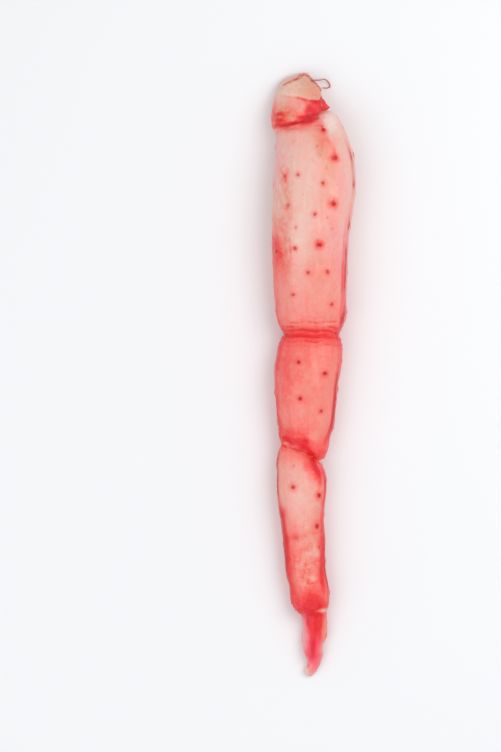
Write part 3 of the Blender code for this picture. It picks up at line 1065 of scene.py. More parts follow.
def measure_route(
    points: np.ndarray, route: np.ndarray, amounts: np.ndarray, reach: float
) -> tuple[np.ndarray, np.ndarray]:
    """Measures points against a line on the skin.

    Args:
        points: Points in metres.
        route: The line's points in metres.
        amounts: A value at each point of the line.
        reach: Millimetres from the line beyond which a point isn't measured.

    Returns:
        The distance in millimetres, FAR beyond the reach, and the value where the line is nearest.
    """
    low = route.min(axis=0) - reach * MM
    high = route.max(axis=0) + reach * MM
    near = np.all((points > low) & (points < high), axis=1)
    spots = points[near]
    best = np.full(len(spots), FAR)
    there = np.zeros(len(spots))
    for first, last, value, next_value in zip(route[:-1], route[1:], amounts[:-1], amounts[1:]):
        run = last - first
        share = np.clip((spots - first) @ run / max(run @ run, 1e-12), 0.0, 1.0)
        apart = np.linalg.norm(spots - first - share[:, None] * run, axis=1) / MM
        closer = apart < best
        best = np.where(closer, apart, best)
        there = np.where(closer, value + (next_value - value) * share, there)
    distances = np.full(len(points), FAR)
    values = np.zeros(len(points))
    distances[near] = best
    values[near] = there
    return distances, values


@dataclass(frozen=True)
class SkinPaint:
    """Where the skin is cream, pink, salmon and red, as the shown side has it, and its painted
    highlights.
    """

    form: LegForm
    hood: Hood
    seams: Seams
    warp: float = 1.1
    wiggle: float = 0.45
    line_reach: float = 4.0
    wander_spacing: float = 0.0045
    sway_spacing: float = 0.0040
    border_spacing: float = 0.010
    hue_spacing: float = 0.016
    hue_swing: float = 0.25
    below_warmth: float = 0.3
    net_top: float = 0.15
    net_below: float = 0.5
    edge_waver: float = 0.05
    border_swing: float = 0.16
    border_sway: float = 0.08
    hood_red: Span = (0.05, 0.24)
    hood_hue: Span = (0.35, 0.6)
    hood_rise: Span = (-0.2, 0.5)
    hood_red_rise: Span = (-14.0, 3.0)
    hood_hue_rise: Span = (-17.0, -6.0)
    shown_rise: Span = (-0.1, 0.35)
    rim_rise: Span = (0.74, 0.97)
    below_rise: Span = (-0.20, 0.42)
    red_along: Profile = (
        (0.0, 0.18), (12.0, 0.16), (18.0, 0.30), (28.0, 0.42), (36.0, 0.14), (60.0, 0.10), (95.0, 0.12),
        (112.0, 0.22), (130.0, 0.32), (145.0, 0.45), (152.0, 0.78), (160.0, 0.50), (180.0, 0.42),
        (200.0, 0.42), (213.0, 0.62), (222.0, 0.46), (232.0, 0.25), (250.0, 0.25), (262.0, 0.34),
        (275.0, 0.38), (293.0, 0.44), (298.0, 0.56), (304.0, 0.74), (312.0, 0.90), (322.0, 0.80),
        (330.0, 0.70), (343.0, 0.54), (350.0, 0.28),
    )
    rim_along: Profile = (
        (0.0, 0.00), (25.0, 0.10), (40.0, 0.08), (90.0, 0.14), (120.0, 0.22), (150.0, 0.34),
        (165.0, 0.28), (200.0, 0.32), (222.0, 0.20), (240.0, 0.24), (262.0, 0.48), (290.0, 0.36),
        (308.0, 0.15), (320.0, -0.15), (350.0, -0.15),
    )
    under_along: Profile = (
        (0.0, 0.22), (25.0, 0.34), (40.0, 0.26), (70.0, 0.34), (110.0, 0.44), (150.0, 0.66),
        (180.0, 0.56), (215.0, 0.66), (245.0, 0.52), (300.0, 0.72), (330.0, 0.66), (350.0, 0.30),
    )
    patches: tuple[Patch, ...] = (
        # Stub: pale left edge, orange mottling below it, a bright red hollow on the right
        *Patch.rows(
            Field.RED,
            (10.0, -20.0, 7.0, 5.5, -0.16), (26.0, -19.5, 5.0, 5.5, 0.22),
            (24.9, -20.3, 1.5, 2.2, 0.34), (28.3, -19.9, 1.2, 2.6, 0.32),
            (26.6, -13.6, 2.8, 3.0, -0.24), (30.2, -15.3, 1.2, 2.4, 0.34), (26.3, -8.7, 1.3, 1.8, 0.24),
            (30.0, -10.2, 1.4, 2.6, 0.24), (23.0, -18.4, 1.0, 2.0, -0.34),
            (26.7, -19.4, 0.8, 2.2, -0.20), (30.6, -19.6, 0.9, 2.2, -0.22),
            (23.0, -1.3, 8.0, 4.4, 0.58, -0.50, 3.5), (19.6, 0.4, 1.6, 1.5, -0.14),
            (20.5, 4.4, 4.5, 2.0, 0.34), (22.5, -12.5, 4.0, 2.6, -0.10), (21.0, -19.5, 3.0, 4.5, -0.14),
            (24.5, -12.7, 2.4, 1.6, 0.16), (27.8, -4.0, 2.2, 6.5, 0.30, 0.0, 3.0),
            (33.3, -13.0, 2.2, 9.0, 0.20), (31.0, 4.6, 3.0, 2.6, 0.20),
        ),
        *Patch.rows(
            Field.HUE,
            (8.5, -18.5, 4.5, 5.0, -0.8), (25.5, -18.5, 6.5, 7.0, -1.2), (23.0, -0.5, 8.0, 6.0, 0.25),
        ),
        *Patch.rows(Field.NET, (25.0, -17.5, 6.5, 7.5, 1.0)),
        # Merus: painted highlight on its right shoulder (pale paint, less red), salmon zone beside it,
        # mauve edges and an orange net
        *Patch.rows(Field.CLEAR, (28.0, 10.0, 6.0, 6.0, 0.75)),
        *Patch.rows(
            Field.RED,
            (28.5, 10.0, 6.5, 6.0, -0.40), (40.5, 5.4, 10.0, 5.0, 0.25, 0.35),
            (56.0, 8.5, 11.0, 5.5, 0.10, 0.25), (39.0, -9.0, 6.0, 7.0, 0.04),
            (50.0, -18.0, 15.0, 5.0, 0.02), (82.0, 8.0, 24.0, 6.5, 0.17), (70.0, 16.5, 30.0, 6.0, 0.06),
            (78.0, -16.5, 27.0, 3.5, 0.10), (61.0, -17.5, 4.5, 3.0, 0.12),
            (88.0, -20.0, 6.0, 5.0, 0.16), (100.5, -23.7, 6.8, 4.3, 0.60),
            (106.5, -21.0, 7.5, 4.2, 0.30), (80.0, -12.0, 3.5, 3.0, 0.08),
            (110.0, -17.0, 7.0, 4.0, 0.09), (118.0, -18.0, 9.0, 5.0, 0.14),
            (98.0, -7.5, 16.0, 4.0, -0.05), (97.0, 0.6, 9.0, 4.5, 0.09), (116.0, 3.0, 9.0, 8.0, 0.10),
            (108.0, 14.0, 12.0, 4.0, 0.08),
        ),
        *Patch.rows(
            Field.HUE,
            (43.0, 5.0, 13.0, 6.0, -0.8, 0.40), (56.0, 8.0, 10.0, 5.5, -0.55, 0.25),
            (48.0, -18.5, 14.0, 5.5, 0.55), (76.0, 6.0, 20.0, 4.5, -0.25),
            (80.0, 16.5, 34.0, 5.5, 0.45), (76.0, -16.0, 30.0, 4.0, -0.35),
            (103.0, -17.0, 8.0, 5.0, -0.2), (118.0, 3.0, 13.0, 9.0, -0.45),
            (108.0, 14.0, 12.0, 5.0, 0.30),
        ),
        *Patch.rows(
            Field.NET,
            (76.0, -16.5, 28.0, 4.0, 0.70), (106.0, -16.0, 9.0, 7.0, 0.6),
        ),
        # Carpus: salmon on the right, red towards the left and the wrist
        *Patch.rows(
            Field.HUE,
            (172.0, 2.0, 18.0, 10.0, -0.35), (205.0, 4.0, 7.0, 5.0, -0.5),
        ),
        *Patch.rows(
            Field.RED,
            (176.0, -16.0, 16.0, 5.0, 0.16), (210.0, -12.5, 6.0, 7.0, 0.08),
            (214.3, -5.6, 2.4, 2.2, 0.50), (210.5, 1.0, 4.0, 4.4, -0.20),
            (217.5, -17.5, 3.5, 4.0, -0.20), (212.3, -17.8, 1.1, 2.6, 0.34),
            (216.4, -17.8, 0.9, 2.4, 0.26), (228.5, -3.6, 6.0, 3.0, 0.30, 0.35),
            (205.0, 5.0, 7.0, 3.5, -0.10), (219.6, 3.8, 2.5, 2.6, 0.20), (229.5, 3.8, 3.0, 2.4, 0.26),
        ),
        *Patch.rows(Field.NET, (178.0, -10.0, 18.0, 10.0, 0.25)),
        # Propodus: pale middle stripe between red edges, mottled towards the ankle
        *Patch.rows(
            Field.RED,
            (246.0, -7.5, 15.0, 5.5, -0.09), (235.0, 3.2, 7.5, 4.2, 0.12, 0.25),
            (233.5, -0.2, 4.5, 3.2, 0.14, 0.35), (262.0, 3.4, 14.0, 2.2, 0.12),
            (261.0, -8.0, 4.0, 4.5, -0.10), (277.0, 0.8, 6.0, 2.4, -0.12),
            (280.5, -3.0, 4.5, 6.0, -0.12), (296.0, -5.2, 1.6, 2.0, -0.14),
            (292.6, -0.2, 1.4, 1.8, -0.14), (298.0, 0.6, 1.6, 1.8, -0.12),
            (308.5, -1.5, 5.0, 4.0, 0.34), (305.0, -9.0, 5.0, 3.0, -0.10),
            (303.0, 6.8, 5.5, 2.4, -0.24), (266.0, -11.5, 7.0, 4.0, 0.12),
            (269.0, -11.0, 1.7, 3.4, 0.16), (282.0, -11.5, 8.0, 2.2, 0.14, 0.10),
        ),
        *Patch.rows(
            Field.NET,
            (234.0, 0.5, 8.0, 4.0, 0.6), (284.0, -3.0, 22.0, 9.0, 1.0),
        ),
        *Patch.rows(
            Field.HUE,
            (266.0, -1.0, 20.0, 5.0, -0.3), (290.0, -5.0, 9.0, 6.0, -0.4),
        ),
        # Dactyl: crimson heart, salmon strip on the right, rose towards the pale tip
        *Patch.rows(
            Field.RED,
            (316.0, 1.0, 7.0, 3.8, 0.58, 0.20, 3.0), (320.0, -2.0, 3.5, 2.8, 0.34),
            (320.0, 6.2, 7.5, 2.4, -0.46, 0.0, 3.0), (321.5, -5.6, 8.5, 2.6, -0.40, 0.0, 3.0),
            (330.5, 6.0, 4.0, 1.6, -0.20), (331.0, -5.4, 5.0, 1.6, -0.28),
            (336.0, 4.8, 5.0, 1.6, -0.24), (346.0, -4.6, 3.6, 2.2, -0.40),
            (349.5, -2.5, 2.0, 4.0, -0.12),
        ),
        *Patch.rows(
            Field.HUE,
            (320.0, 6.2, 7.5, 2.4, -0.45, 0.0, 3.0), (321.5, -5.6, 9.5, 3.4, 1.00, 0.0, 3.0),
            (337.0, 0.0, 12.0, 7.0, 0.95, 0.0, 4.0),
        ),
    )
    strokes: tuple[Stroke, ...] = (
        # Stub: the crease at its end, the hood's lower border, and the hollow's strands
        Stroke(
            Field.RED,
            (
                (31.6, -24.0, 0.40), (31.0, -16.5, 0.65), (29.5, -9.5, 0.80), (28.2, -5.0, 0.65),
                (27.3, 1.8, 0.6),
            ),
            1.25,
        ),
        Stroke(
            Field.LINE,
            (
                (31.8, -21.0, 0.2), (31.4, -16.5, 0.85), (30.9, -12.5, 0.80), (29.7, -9.0, 0.90),
                (28.3, -5.0, 0.6), (27.5, 1.6, 0.9),
            ),
            0.85,
        ),
        Stroke(Field.LINE, ((33.4, -20.0, 0.1), (33.6, -14.0, 0.30), (33.0, -9.0, 0.25)), 0.6),
        Stroke(Field.LINE, ((14.5, -9.8, 0.2), (16.3, -4.0, 0.85), (17.2, 4.2, 0.8)), 0.8),
        Stroke(Field.RED, ((15.0, -8.8, 0.1), (16.8, -4.0, 0.4), (17.8, 4.2, 0.4)), 1.3),
        Stroke(
            Field.LINE,
            (
                (18.0, -4.4, 0.2), (22.0, -2.6, 0.5), (26.0, -3.6, 0.6), (28.6, -6.2, 0.5),
            ),
            1.0,
        ),
        Stroke(
            Field.LINE,
            (
                (17.5, 3.6, 0.4), (20.5, 3.4, 0.5), (23.5, 2.6, 0.6), (27.0, 1.8, 0.7),
            ),
            1.0,
        ),
        # Merus: tail of its upper big spot, redness inside its right seam, and a net on its left
        Stroke(
            Field.RED,
            (
                (34.5, 5.4, 0.14), (40.0, 7.6, 0.12), (45.0, 11.2, 0.22), (50.0, 12.0, 0.45),
            ),
            1.3,
        ),
        Stroke(
            Field.RED,
            (
                (78.0, 19.0, 0.02), (90.0, 18.2, 0.12), (103.0, 16.9, 0.28), (122.0, 16.3, 0.40),
                (132.0, 16.0, 0.22), (146.0, 15.2, 0.30),
            ),
            1.2,
        ),
        Stroke(
            Field.RED,
            (
                (54.6, -17.6, 0.12), (56.5, -19.2, 0.2), (60.0, -17.9, 0.22), (58.5, -15.2, 0.18),
                (55.2, -15.8, 0.1),
            ),
            0.6,
        ),
        Stroke(
            Field.RED,
            (
                (62.5, -16.6, 0.3), (66.0, -15.2, 0.1), (70.0, -17.2, 0.22), (74.0, -15.4, 0.05),
            ),
            0.9,
        ),
        Stroke(Field.RED, ((98.0, -14.2, 0.05), (103.0, -13.6, 0.20), (108.0, -13.4, 0.10)), 0.9),
        # Wrist: the red band of joint skin, and the creases at its left
        Stroke(
            Field.RED,
            (
                (212.0, -19.5, 0.30), (213.8, -13.5, 0.40), (216.4, -6.8, 0.44), (219.8, -2.3, 0.46),
                (224.5, -0.6, 0.60), (226.8, 0.2, 0.72), (229.1, 1.2, 0.70), (231.4, 2.3, 0.58),
                (234.0, 3.5, 0.40), (238.0, 4.0, 0.20),
            ),
            2.2,
        ),
        Stroke(
            Field.LINE,
            (
                (217.5, -9.0, 0.2), (220.5, -3.8, 0.5), (225.5, -0.8, 0.4), (232.0, 2.4, 0.12),
            ),
            0.9,
        ),
        Stroke(Field.LINE, ((212.0, -20.0, 0.5), (212.4, -16.5, 0.45), (214.4, -13.5, 0.15)), 0.7),
        Stroke(Field.LINE, ((216.6, -19.6, 0.35), (217.0, -15.0, 0.2)), 0.7),
        # Carpus: redness inside its right seam
        Stroke(
            Field.RED,
            (
                (176.0, 13.4, 0.30), (190.0, 12.4, 0.60), (204.0, 10.4, 0.50), (214.0, 6.6, 0.15),
            ),
            1.8,
        ),
        # Propodus: redness along both edges, and a faint line down the middle
        Stroke(
            Field.RED,
            (
                (250.0, -19.8, 0.05), (256.0, -17.9, 0.58), (262.0, -17.6, 0.70), (272.0, -16.2, 0.72),
                (284.0, -15.0, 0.50), (300.0, -12.6, 0.22),
            ),
            2.5,
        ),
        Stroke(
            Field.RED,
            (
                (244.0, 4.8, 0.12), (252.0, 4.8, 0.16), (266.0, 4.4, 0.26), (279.0, 4.4, 0.55),
                (289.0, 4.4, 0.58), (300.0, 5.8, 0.26),
            ),
            2.0,
        ),
        Stroke(Field.LINE, ((251.0, -5.8, 0.15), (257.0, -5.6, 0.25), (264.0, -5.9, 0.12)), 0.35),
        Stroke(Field.RED, ((232.0, 5.6, 0.12), (242.0, 6.0, 0.26), (254.0, 5.4, 0.12)), 1.6),
        Stroke(
            Field.LINE,
            (
                (292.1, -9.3, 0.15), (293.0, -5.2, 0.45), (295.6, -1.1, 0.40), (294.7, 2.3, 0.20),
            ),
            0.45,
        ),
        # Ankle and dactyl
        Stroke(Field.LINE, ((309.0, 9.0, 0.9), (310.6, 6.6, 0.6)), 0.8),
        Stroke(Field.LINE, ((311.5, -9.6, 0.7), (314.6, -5.6, 0.6), (317.5, -1.5, 0.2)), 0.6),
        Stroke(Field.LINE, ((327.0, -1.2, 0.1), (331.0, -1.1, 0.45), (336.5, -1.2, 0.30)), 0.8),
        Stroke(
            Field.RED,
            (
                (325.0, -0.6, 0.15), (331.0, -0.9, 0.45), (337.0, -1.0, 0.35), (341.0, -0.4, 0.10),
            ),
            2.0,
        ),
        Stroke(Field.LINE, ((341.6, -3.4, 0.2), (343.4, -3.0, 0.5), (345.4, -3.3, 0.2)), 0.5),
        # Pale folds of skin, which lift the paint: paler skin on the folds, and at the wrist a painted
        # highlight along them
        Stroke(
            Field.RED,
            (
                (312.0, -0.6, -0.60), (312.0, 1.6, -0.98), (311.7, 4.2, -0.76), (311.1, 7.4, -0.68),
            ),
            1.6,
        ),
        # painted highlight: pale strokes along the wrist's folds at its left edge
        Stroke(Field.RED, ((213.9, -20.0, -0.60), (214.3, -17.5, -0.55), (214.9, -14.5, -0.30)), 0.9),
        Stroke(Field.RED, ((217.6, -14.0, -0.05), (216.6, -10.6, -0.25), (218.6, -7.2, -0.05)), 0.8),
    )

    def fields(self, points: np.ndarray) -> dict[Field, np.ndarray]:
        """The painted fields at points.

        Args:
            points: Points in metres.

        Returns:
            Each field's values, without the spots and the painted crease shade.
        """
        along = self.form.leg.along(points)
        side = self.form.leg.side(points)
        wander = noise_at(points, self.wander_spacing, 21.0)
        sway = noise_at(points, self.sway_spacing, 43.0)
        warped_along = along + self.warp * wander
        warped_side = side + self.warp * sway
        across, up = self.form.around(points)
        shown = ease(up, *self.shown_rise)
        edge = np.abs(across) + self.edge_waver * wander
        rim = self.profile(self.rim_along, along) * ease(edge, *self.rim_rise)
        top = self.profile(self.red_along, along) + rim
        border = self.border_swing * noise_at(points, self.border_spacing, 77.0)
        border = border + self.border_sway * sway
        below = ease(-up + border, *self.below_rise)
        made = {
            Field.RED: top + (self.profile(self.under_along, along) - top) * below,
            Field.HUE: (
                self.hue_swing * noise_at(points, self.hue_spacing, 5.0) - self.below_warmth * below
            ),
            Field.NET: self.net_top + self.net_below * below,
            Field.CLEAR: np.zeros(len(points)),
        }
        for patch in self.patches:
            cover = patch.cover(warped_along, warped_side)
            made[patch.field] = made[patch.field] + patch.amount * cover * shown
        self.draw_lines(made, points, wander, sway)
        hood = ease(self.hood.cover(along, side), *self.hood_rise) * shown
        for field in (Field.CLEAR, Field.NET, Field.LINE, Field.RED, Field.HUE):
            made[field] = made[field] * (1 - hood)
        least, more = self.hood_red
        made[Field.RED] += hood * (least + more * ease(side, *self.hood_red_rise))
        least, more = self.hood_hue
        made[Field.HUE] -= hood * (least + more * ease(side, *self.hood_hue_rise))
        return made

    @staticmethod
    def profile(knots: Profile, along: np.ndarray) -> np.ndarray:
        """A value that changes along the leg."""
        return smooth_through(*zip(*knots), along)

    def draw_lines(
        self, made: dict[Field, np.ndarray], points: np.ndarray, wander: np.ndarray, sway: np.ndarray
    ) -> None:
        """Adds the strokes and the seams to the fields.

        Args:
            made: The fields so far.
            points: Points in metres.
            wander: Noise along the leg at the points, which keeps the lines from being smooth.
            sway: The same to the side.
        """
        shaken = points + np.stack([sway, wander, sway], axis=1) * self.wiggle * MM
        strength = np.zeros(len(points))
        off = np.full(len(points), self.line_reach)
        for line in (*self.strokes, *self.seams.lines):
            reach = self.line_reach * line.width
            apart, amount = measure_route(shaken, *line.on_skin(self.form), reach)
            apart = np.minimum(apart / line.width, self.line_reach)
            field = getattr(line, "field", Field.LINE)
            if field is Field.RED:
                made[field] = made[field] + amount * np.exp(-(apart**2))
                continue
            closer = amount * np.exp(-(apart**2)) > strength * np.exp(-(off**2))
            strength = np.where(closer, amount, strength)
            off = np.where(closer, apart, off)
        made[Field.LINE] = strength
        made[Field.LINE_OFF] = off


# Shader graphs


@dataclass(frozen=True)
class Tone:
    """A colour as it looks on a screen, from 0 to 255."""

    red: int
    green: int
    blue: int

    def linear(self) -> tuple[float, float, float, float]:
        """The colour as a shader takes it."""
        values = [value / 255 for value in (self.red, self.green, self.blue)]
        return (*(v / 12.92 if v <= 0.04045 else ((v + 0.055) / 1.055) ** 2.4 for v in values), 1.0)


class Wire:
    """A socket of a shader graph that takes part in Python's arithmetic."""

    def __init__(self, graph: "Graph", socket: bpy.types.NodeSocket) -> None:
        """Wraps one output socket of a graph."""
        self.graph = graph
        self.socket = socket

    def _math(self, op: Op, first: "Wire | float", second: "Wire | float") -> "Wire":
        """One Math node on two values."""
        return self.graph.node("ShaderNodeMath", {"operation": op.value}, {0: first, 1: second})

    def __add__(self, other: "Wire | float") -> "Wire":
        """Sum."""
        return self._math(Op.ADD, self, other)

    def __radd__(self, other: float) -> "Wire":
        """Sum, with the number first."""
        return self._math(Op.ADD, other, self)

    def __sub__(self, other: "Wire | float") -> "Wire":
        """Difference."""
        return self._math(Op.SUBTRACT, self, other)

    def __rsub__(self, other: float) -> "Wire":
        """Difference, with the number first."""
        return self._math(Op.SUBTRACT, other, self)

    def __mul__(self, other: "Wire | float") -> "Wire":
        """Product."""
        return self._math(Op.MULTIPLY, self, other)

    def __rmul__(self, other: float) -> "Wire":
        """Product, with the number first."""
        return self._math(Op.MULTIPLY, other, self)

    def at_most(self, other: "Wire | float") -> "Wire":
        """The smaller of two values."""
        return self._math(Op.MINIMUM, self, other)

    def at_least(self, other: "Wire | float") -> "Wire":
        """The larger of two values."""
        return self._math(Op.MAXIMUM, self, other)

    def clamped(self) -> "Wire":
        """The value, kept between 0 and 1."""
        return self.at_least(0.0).at_most(1.0)

    def swing(self, weight: float) -> "Wire":
        """A noise from 0 to 1, turned into one that swings about 0."""
        return (self - 0.5) * weight

    def eased(self, low: float, high: float) -> "Wire":
        """Eases a value between two limits. It falls where `high` is the lower.

        Args:
            low: Where the result is 0.
            high: Where it is 1.

        Returns:
            The eased value, from 0 to 1.
        """
        settings = {"interpolation_type": "SMOOTHSTEP"}
        if high < low:
            return 1.0 - self.eased(high, low)
        return self.graph.node("ShaderNodeMapRange", settings, {0: self, 1: low, 2: high})


class Graph:
    """The node graph of one material."""

    def __init__(self, name: str) -> None:
        """Starts a material with an empty Principled shader.

        Args:
            name: The material's name.
        """
        self.material = bpy.data.materials.new(name)
        self.material.use_nodes = True
        self.tree = self.material.node_tree
        self.shader = self.tree.nodes["Principled BSDF"]

    def node(
        self,
        kind: str,
        settings: dict[str, object],
        sockets: dict[int | str, object],
        output: int | str = 0,
    ) -> Wire:
        """Adds a node.

        Args:
            kind: The node's type.
            settings: Its properties, which are set first. "stops" gives a ramp's colours.
            sockets: The value or wire of each input that isn't left as it is.
            output: The output that is wanted.

        Returns:
            The wanted output.
        """
        made = self.tree.nodes.new(kind)
        for name, value in settings.items():
            if name == "stops":
                self._set_stops(made.color_ramp, value)
            else:
                setattr(made, name, value)
        for name, value in sockets.items():
            self.feed(made.inputs[name], value)
        return Wire(self, made.outputs[output])

    def feed(self, socket: bpy.types.NodeSocket, value: object) -> None:
        """Links a wire to a socket, or sets its value.

        Args:
            socket: The input.
            value: A wire, a colour or a plain value.
        """
        if isinstance(value, Wire):
            self.tree.links.new(value.socket, socket)
        elif isinstance(value, Tone):
            socket.default_value = value.linear()
        else:
            socket.default_value = value

    @staticmethod
    def _set_stops(ramp: bpy.types.ColorRamp, stops: tuple[tuple[float, Tone], ...]) -> None:
        """Gives a colour ramp its stops.

        Args:
            ramp: The ramp.
            stops: The place and colour of each stop.
        """
        while len(ramp.elements) < len(stops):
            ramp.elements.new(1.0)
        for element, (place, tone) in zip(ramp.elements, stops):
            element.position = place
            element.color = tone.linear()

    def painted(self, field: Field) -> Wire:
        """A painted field."""
        return self.node("ShaderNodeAttribute", {"attribute_name": field.value}, {}, "Fac")

    def place(self) -> Wire:
        """The place on the object, in metres."""
        return self.node("ShaderNodeTexCoord", {}, {}, "Object")

    def stretched(self, place: Wire, by: Triple) -> Wire:
        """A place, scaled along each axis."""
        return self.node("ShaderNodeVectorMath", {"operation": "MULTIPLY"}, {0: place, 1: by})

    def noise(
        self, place: Wire, scale: float, detail: float = 2.0, rough: float = 0.5, output: int | str = 0
    ) -> Wire:
        """Smooth noise from 0 to 1, or the colour output's three, with `scale` features a metre."""
        sockets = {"Vector": place, "Scale": scale, "Detail": detail, "Roughness": rough}
        return self.node("ShaderNodeTexNoise", {}, sockets, output)

    def mix(self, share: Wire | float, first: Wire | Tone, second: Wire | Tone) -> Wire:
        """A colour between two colours."""
        return self.node("ShaderNodeMix", {"data_type": "RGBA"}, {0: share, 6: first, 7: second}, 2)

    def multiply(self, share: Wire | float, first: Wire, second: Wire | Tone) -> Wire:
        """A colour multiplied by another, as far as the share says."""
        settings = {"data_type": "RGBA", "blend_type": "MULTIPLY"}
        return self.node("ShaderNodeMix", settings, {0: share, 6: first, 7: second}, 2)

    def ramp(self, value: Wire, stops: tuple[tuple[float, Tone], ...]) -> Wire:
        """The colour that a ramp gives a value."""
        return self.node("ShaderNodeValToRGB", {"stops": stops}, {0: value}, "Color")


# Finishes


@dataclass(frozen=True)
class WetSkin:
    """Settings that every piece of wet raw skin shares."""

    roughness: float = 0.42
    coat: float = 0.26
    coat_roughness: float = 0.12
    ior: float = 1.33
    depth: float = 0.0030
    scatter: Triple = (1.0, 0.22, 0.14)
    scatter_share: float = 0.45

    def apply(self, graph: Graph) -> None:
        """Sets what is the same all over on the shader itself.

        Args:
            graph: The material's graph.
        """
        shader = graph.shader
        shader.inputs["IOR"].default_value = self.ior
        shader.inputs["Coat Weight"].default_value = self.coat
        shader.inputs["Coat Roughness"].default_value = self.coat_roughness
        shader.inputs["Subsurface Weight"].default_value = self.scatter_share
        shader.inputs["Subsurface Radius"].default_value = self.scatter
        shader.inputs["Subsurface Scale"].default_value = self.depth
        shader.inputs["Roughness"].default_value = self.roughness


@dataclass(frozen=True)
class Grains:
    """The noises that break the skin up, each from 0 to 1: broad ones, fine ones and fibres."""

    broad: Wire
    mottle: Wire
    fine: Wire
    fibre: Wire
    blotch: Wire
    veins: Wire


@dataclass(frozen=True)
class MeatFinish:
    """The leg's skin and the meat under it, from cream to crimson, with painted shade in its creases
    and a painted highlight on the merus's shoulder.

    A scale is a noise's features for each metre. A weight is how much a noise adds.
    """

    wet: WetSkin = WetSkin()
    places: tuple[float, ...] = (0.00, 0.15, 0.35, 0.55, 0.75, 1.00)
    plain: tuple[Tone, ...] = (
        Tone(231, 202, 189), Tone(236, 182, 170), Tone(240, 149, 137),
        Tone(243, 110, 102), Tone(241, 68, 68), Tone(230, 26, 36),
    )
    warm: tuple[Tone, ...] = (
        Tone(230, 192, 166), Tone(226, 172, 148), Tone(230, 141, 117),
        Tone(239, 104, 82), Tone(232, 66, 54), Tone(216, 32, 30),
    )
    cool: tuple[Tone, ...] = (
        Tone(231, 201, 198), Tone(236, 183, 180), Tone(241, 154, 156),
        Tone(245, 116, 126), Tone(243, 76, 96), Tone(232, 34, 62),
    )
    # pale tone of the random pale mottling, and of the painted highlight on the merus's shoulder
    clear: Tone = Tone(241, 221, 213)
    halo: Tone = Tone(240, 84, 72)
    core: Tone = Tone(200, 18, 22)
    pit: Tone = Tone(176, 8, 14)
    faint_core: Tone = Tone(198, 90, 80)
    seam: Tone = Tone(192, 46, 52)
    # painted shade: the colour that the skin is multiplied by in its creases
    crease: Tone = Tone(244, 140, 130)
    broad_scale: float = 110.0
    mottle_scale: float = 420.0
    fine_scale: float = 1500.0
    fibre_scale: float = 1400.0
    fibre_stretch: Triple = (1.0, 0.09, 1.0)
    warp_scale: float = 500.0
    warp_reach: float = 0.0022
    blotch_scale: float = 260.0
    vein_scale: float = 330.0
    vein_width: float = 0.32
    vein_gap_scale: float = 170.0
    vein_gaps: Span = (0.42, 0.64)
    broad_weight: float = 0.16
    mottle_weight: float = 0.18
    vein_weight: float = 0.16
    blotch_weight: float = 0.90
    fibre_weight: float = 0.12
    fine_weight: float = 0.08
    hue_weight: float = 0.5
    net_warmth: float = 0.8
    net_middle: float = 0.45
    clear_weight: float = 0.2
    pale_and_highlight_share: float = 0.8
    crease_shade_share: float = 0.8
    seam_ragged: Span = (1.1, 0.5)
    seam_edge: Span = (1.5, 0.2)
    seam_share: float = 0.85
    halo_ragged: float = 2.6
    halo_edge: Span = (2.9, 0.5)
    halo_share: float = 0.95
    core_ragged: float = 1.2
    core_edge: Span = (1.20, 0.45)
    core_share: float = 1.15
    faint_tones: Span = (0.35, 0.9)
    pit_ragged: float = 0.9
    pit_edge: Span = (0.66, 0.24)
    pit_tones: Span = (0.5, 0.9)
    pit_share: float = 0.8
    rough_weight: float = 0.16
    red_gloss: float = 0.10
    bump_strength: float = 0.6
    bump_distance: float = 0.0004

    def material(self) -> bpy.types.Material:
        """Builds the finish.

        Returns:
            The material.
        """
        g = Graph("crab_meat")
        self.wet.apply(g)
        grains = self.grains(g)
        line = self.line(g, grains)
        colour = self.skin(g, grains)
        # painted shade: the colour is darkened towards red in the creases
        crease = (g.painted(Field.CREASE) * self.crease_shade_share).at_most(1.0)
        colour = g.multiply(crease, colour, self.crease)
        colour = g.mix(line * self.seam_share, colour, self.seam)
        colour, sunk = self.spotted(g, grains, colour)
        g.feed(g.shader.inputs["Base Color"], colour)
        gloss = g.painted(Field.RED) * self.red_gloss
        rough = self.wet.roughness + grains.mottle.swing(self.rough_weight) - gloss
        g.feed(g.shader.inputs["Roughness"], rough)
        relief = grains.fibre * 0.7 + grains.fine * 0.4 + grains.mottle * 0.5 - sunk * 0.4 + line * 0.5
        sockets = {"Strength": self.bump_strength, "Distance": self.bump_distance, "Height": relief}
        g.feed(g.shader.inputs["Normal"], g.node("ShaderNodeBump", {}, sockets))
        return g.material

    def grains(self, g: Graph) -> Grains:
        """Makes the finish's noises.

        Args:
            g: The material's graph.

        Returns:
            The noises.
        """
        place = g.place()
        warp = g.noise(place, self.warp_scale, output="Color")
        shifting = {0: warp, 1: (self.warp_reach,) * 3, 2: place}
        shifted = g.node("ShaderNodeVectorMath", {"operation": "MULTIPLY_ADD"}, shifting)
        splitting = {"Vector": shifted, "Scale": self.vein_scale}
        cells = g.node("ShaderNodeTexVoronoi", {"feature": "DISTANCE_TO_EDGE"}, splitting)
        gaps = g.noise(place, self.vein_gap_scale).eased(*self.vein_gaps)
        return Grains(
            broad=g.noise(place, self.broad_scale, 3.0),
            mottle=g.noise(place, self.mottle_scale, 4.0, 0.6),
            fine=g.noise(place, self.fine_scale, 3.0, 0.6),
            fibre=g.noise(g.stretched(place, self.fibre_stretch), self.fibre_scale, 3.0, 0.55),
            blotch=g.noise(shifted, self.blotch_scale, 5.0, 0.66),
            veins=cells.eased(self.vein_width, 0.0) * gaps,
        )

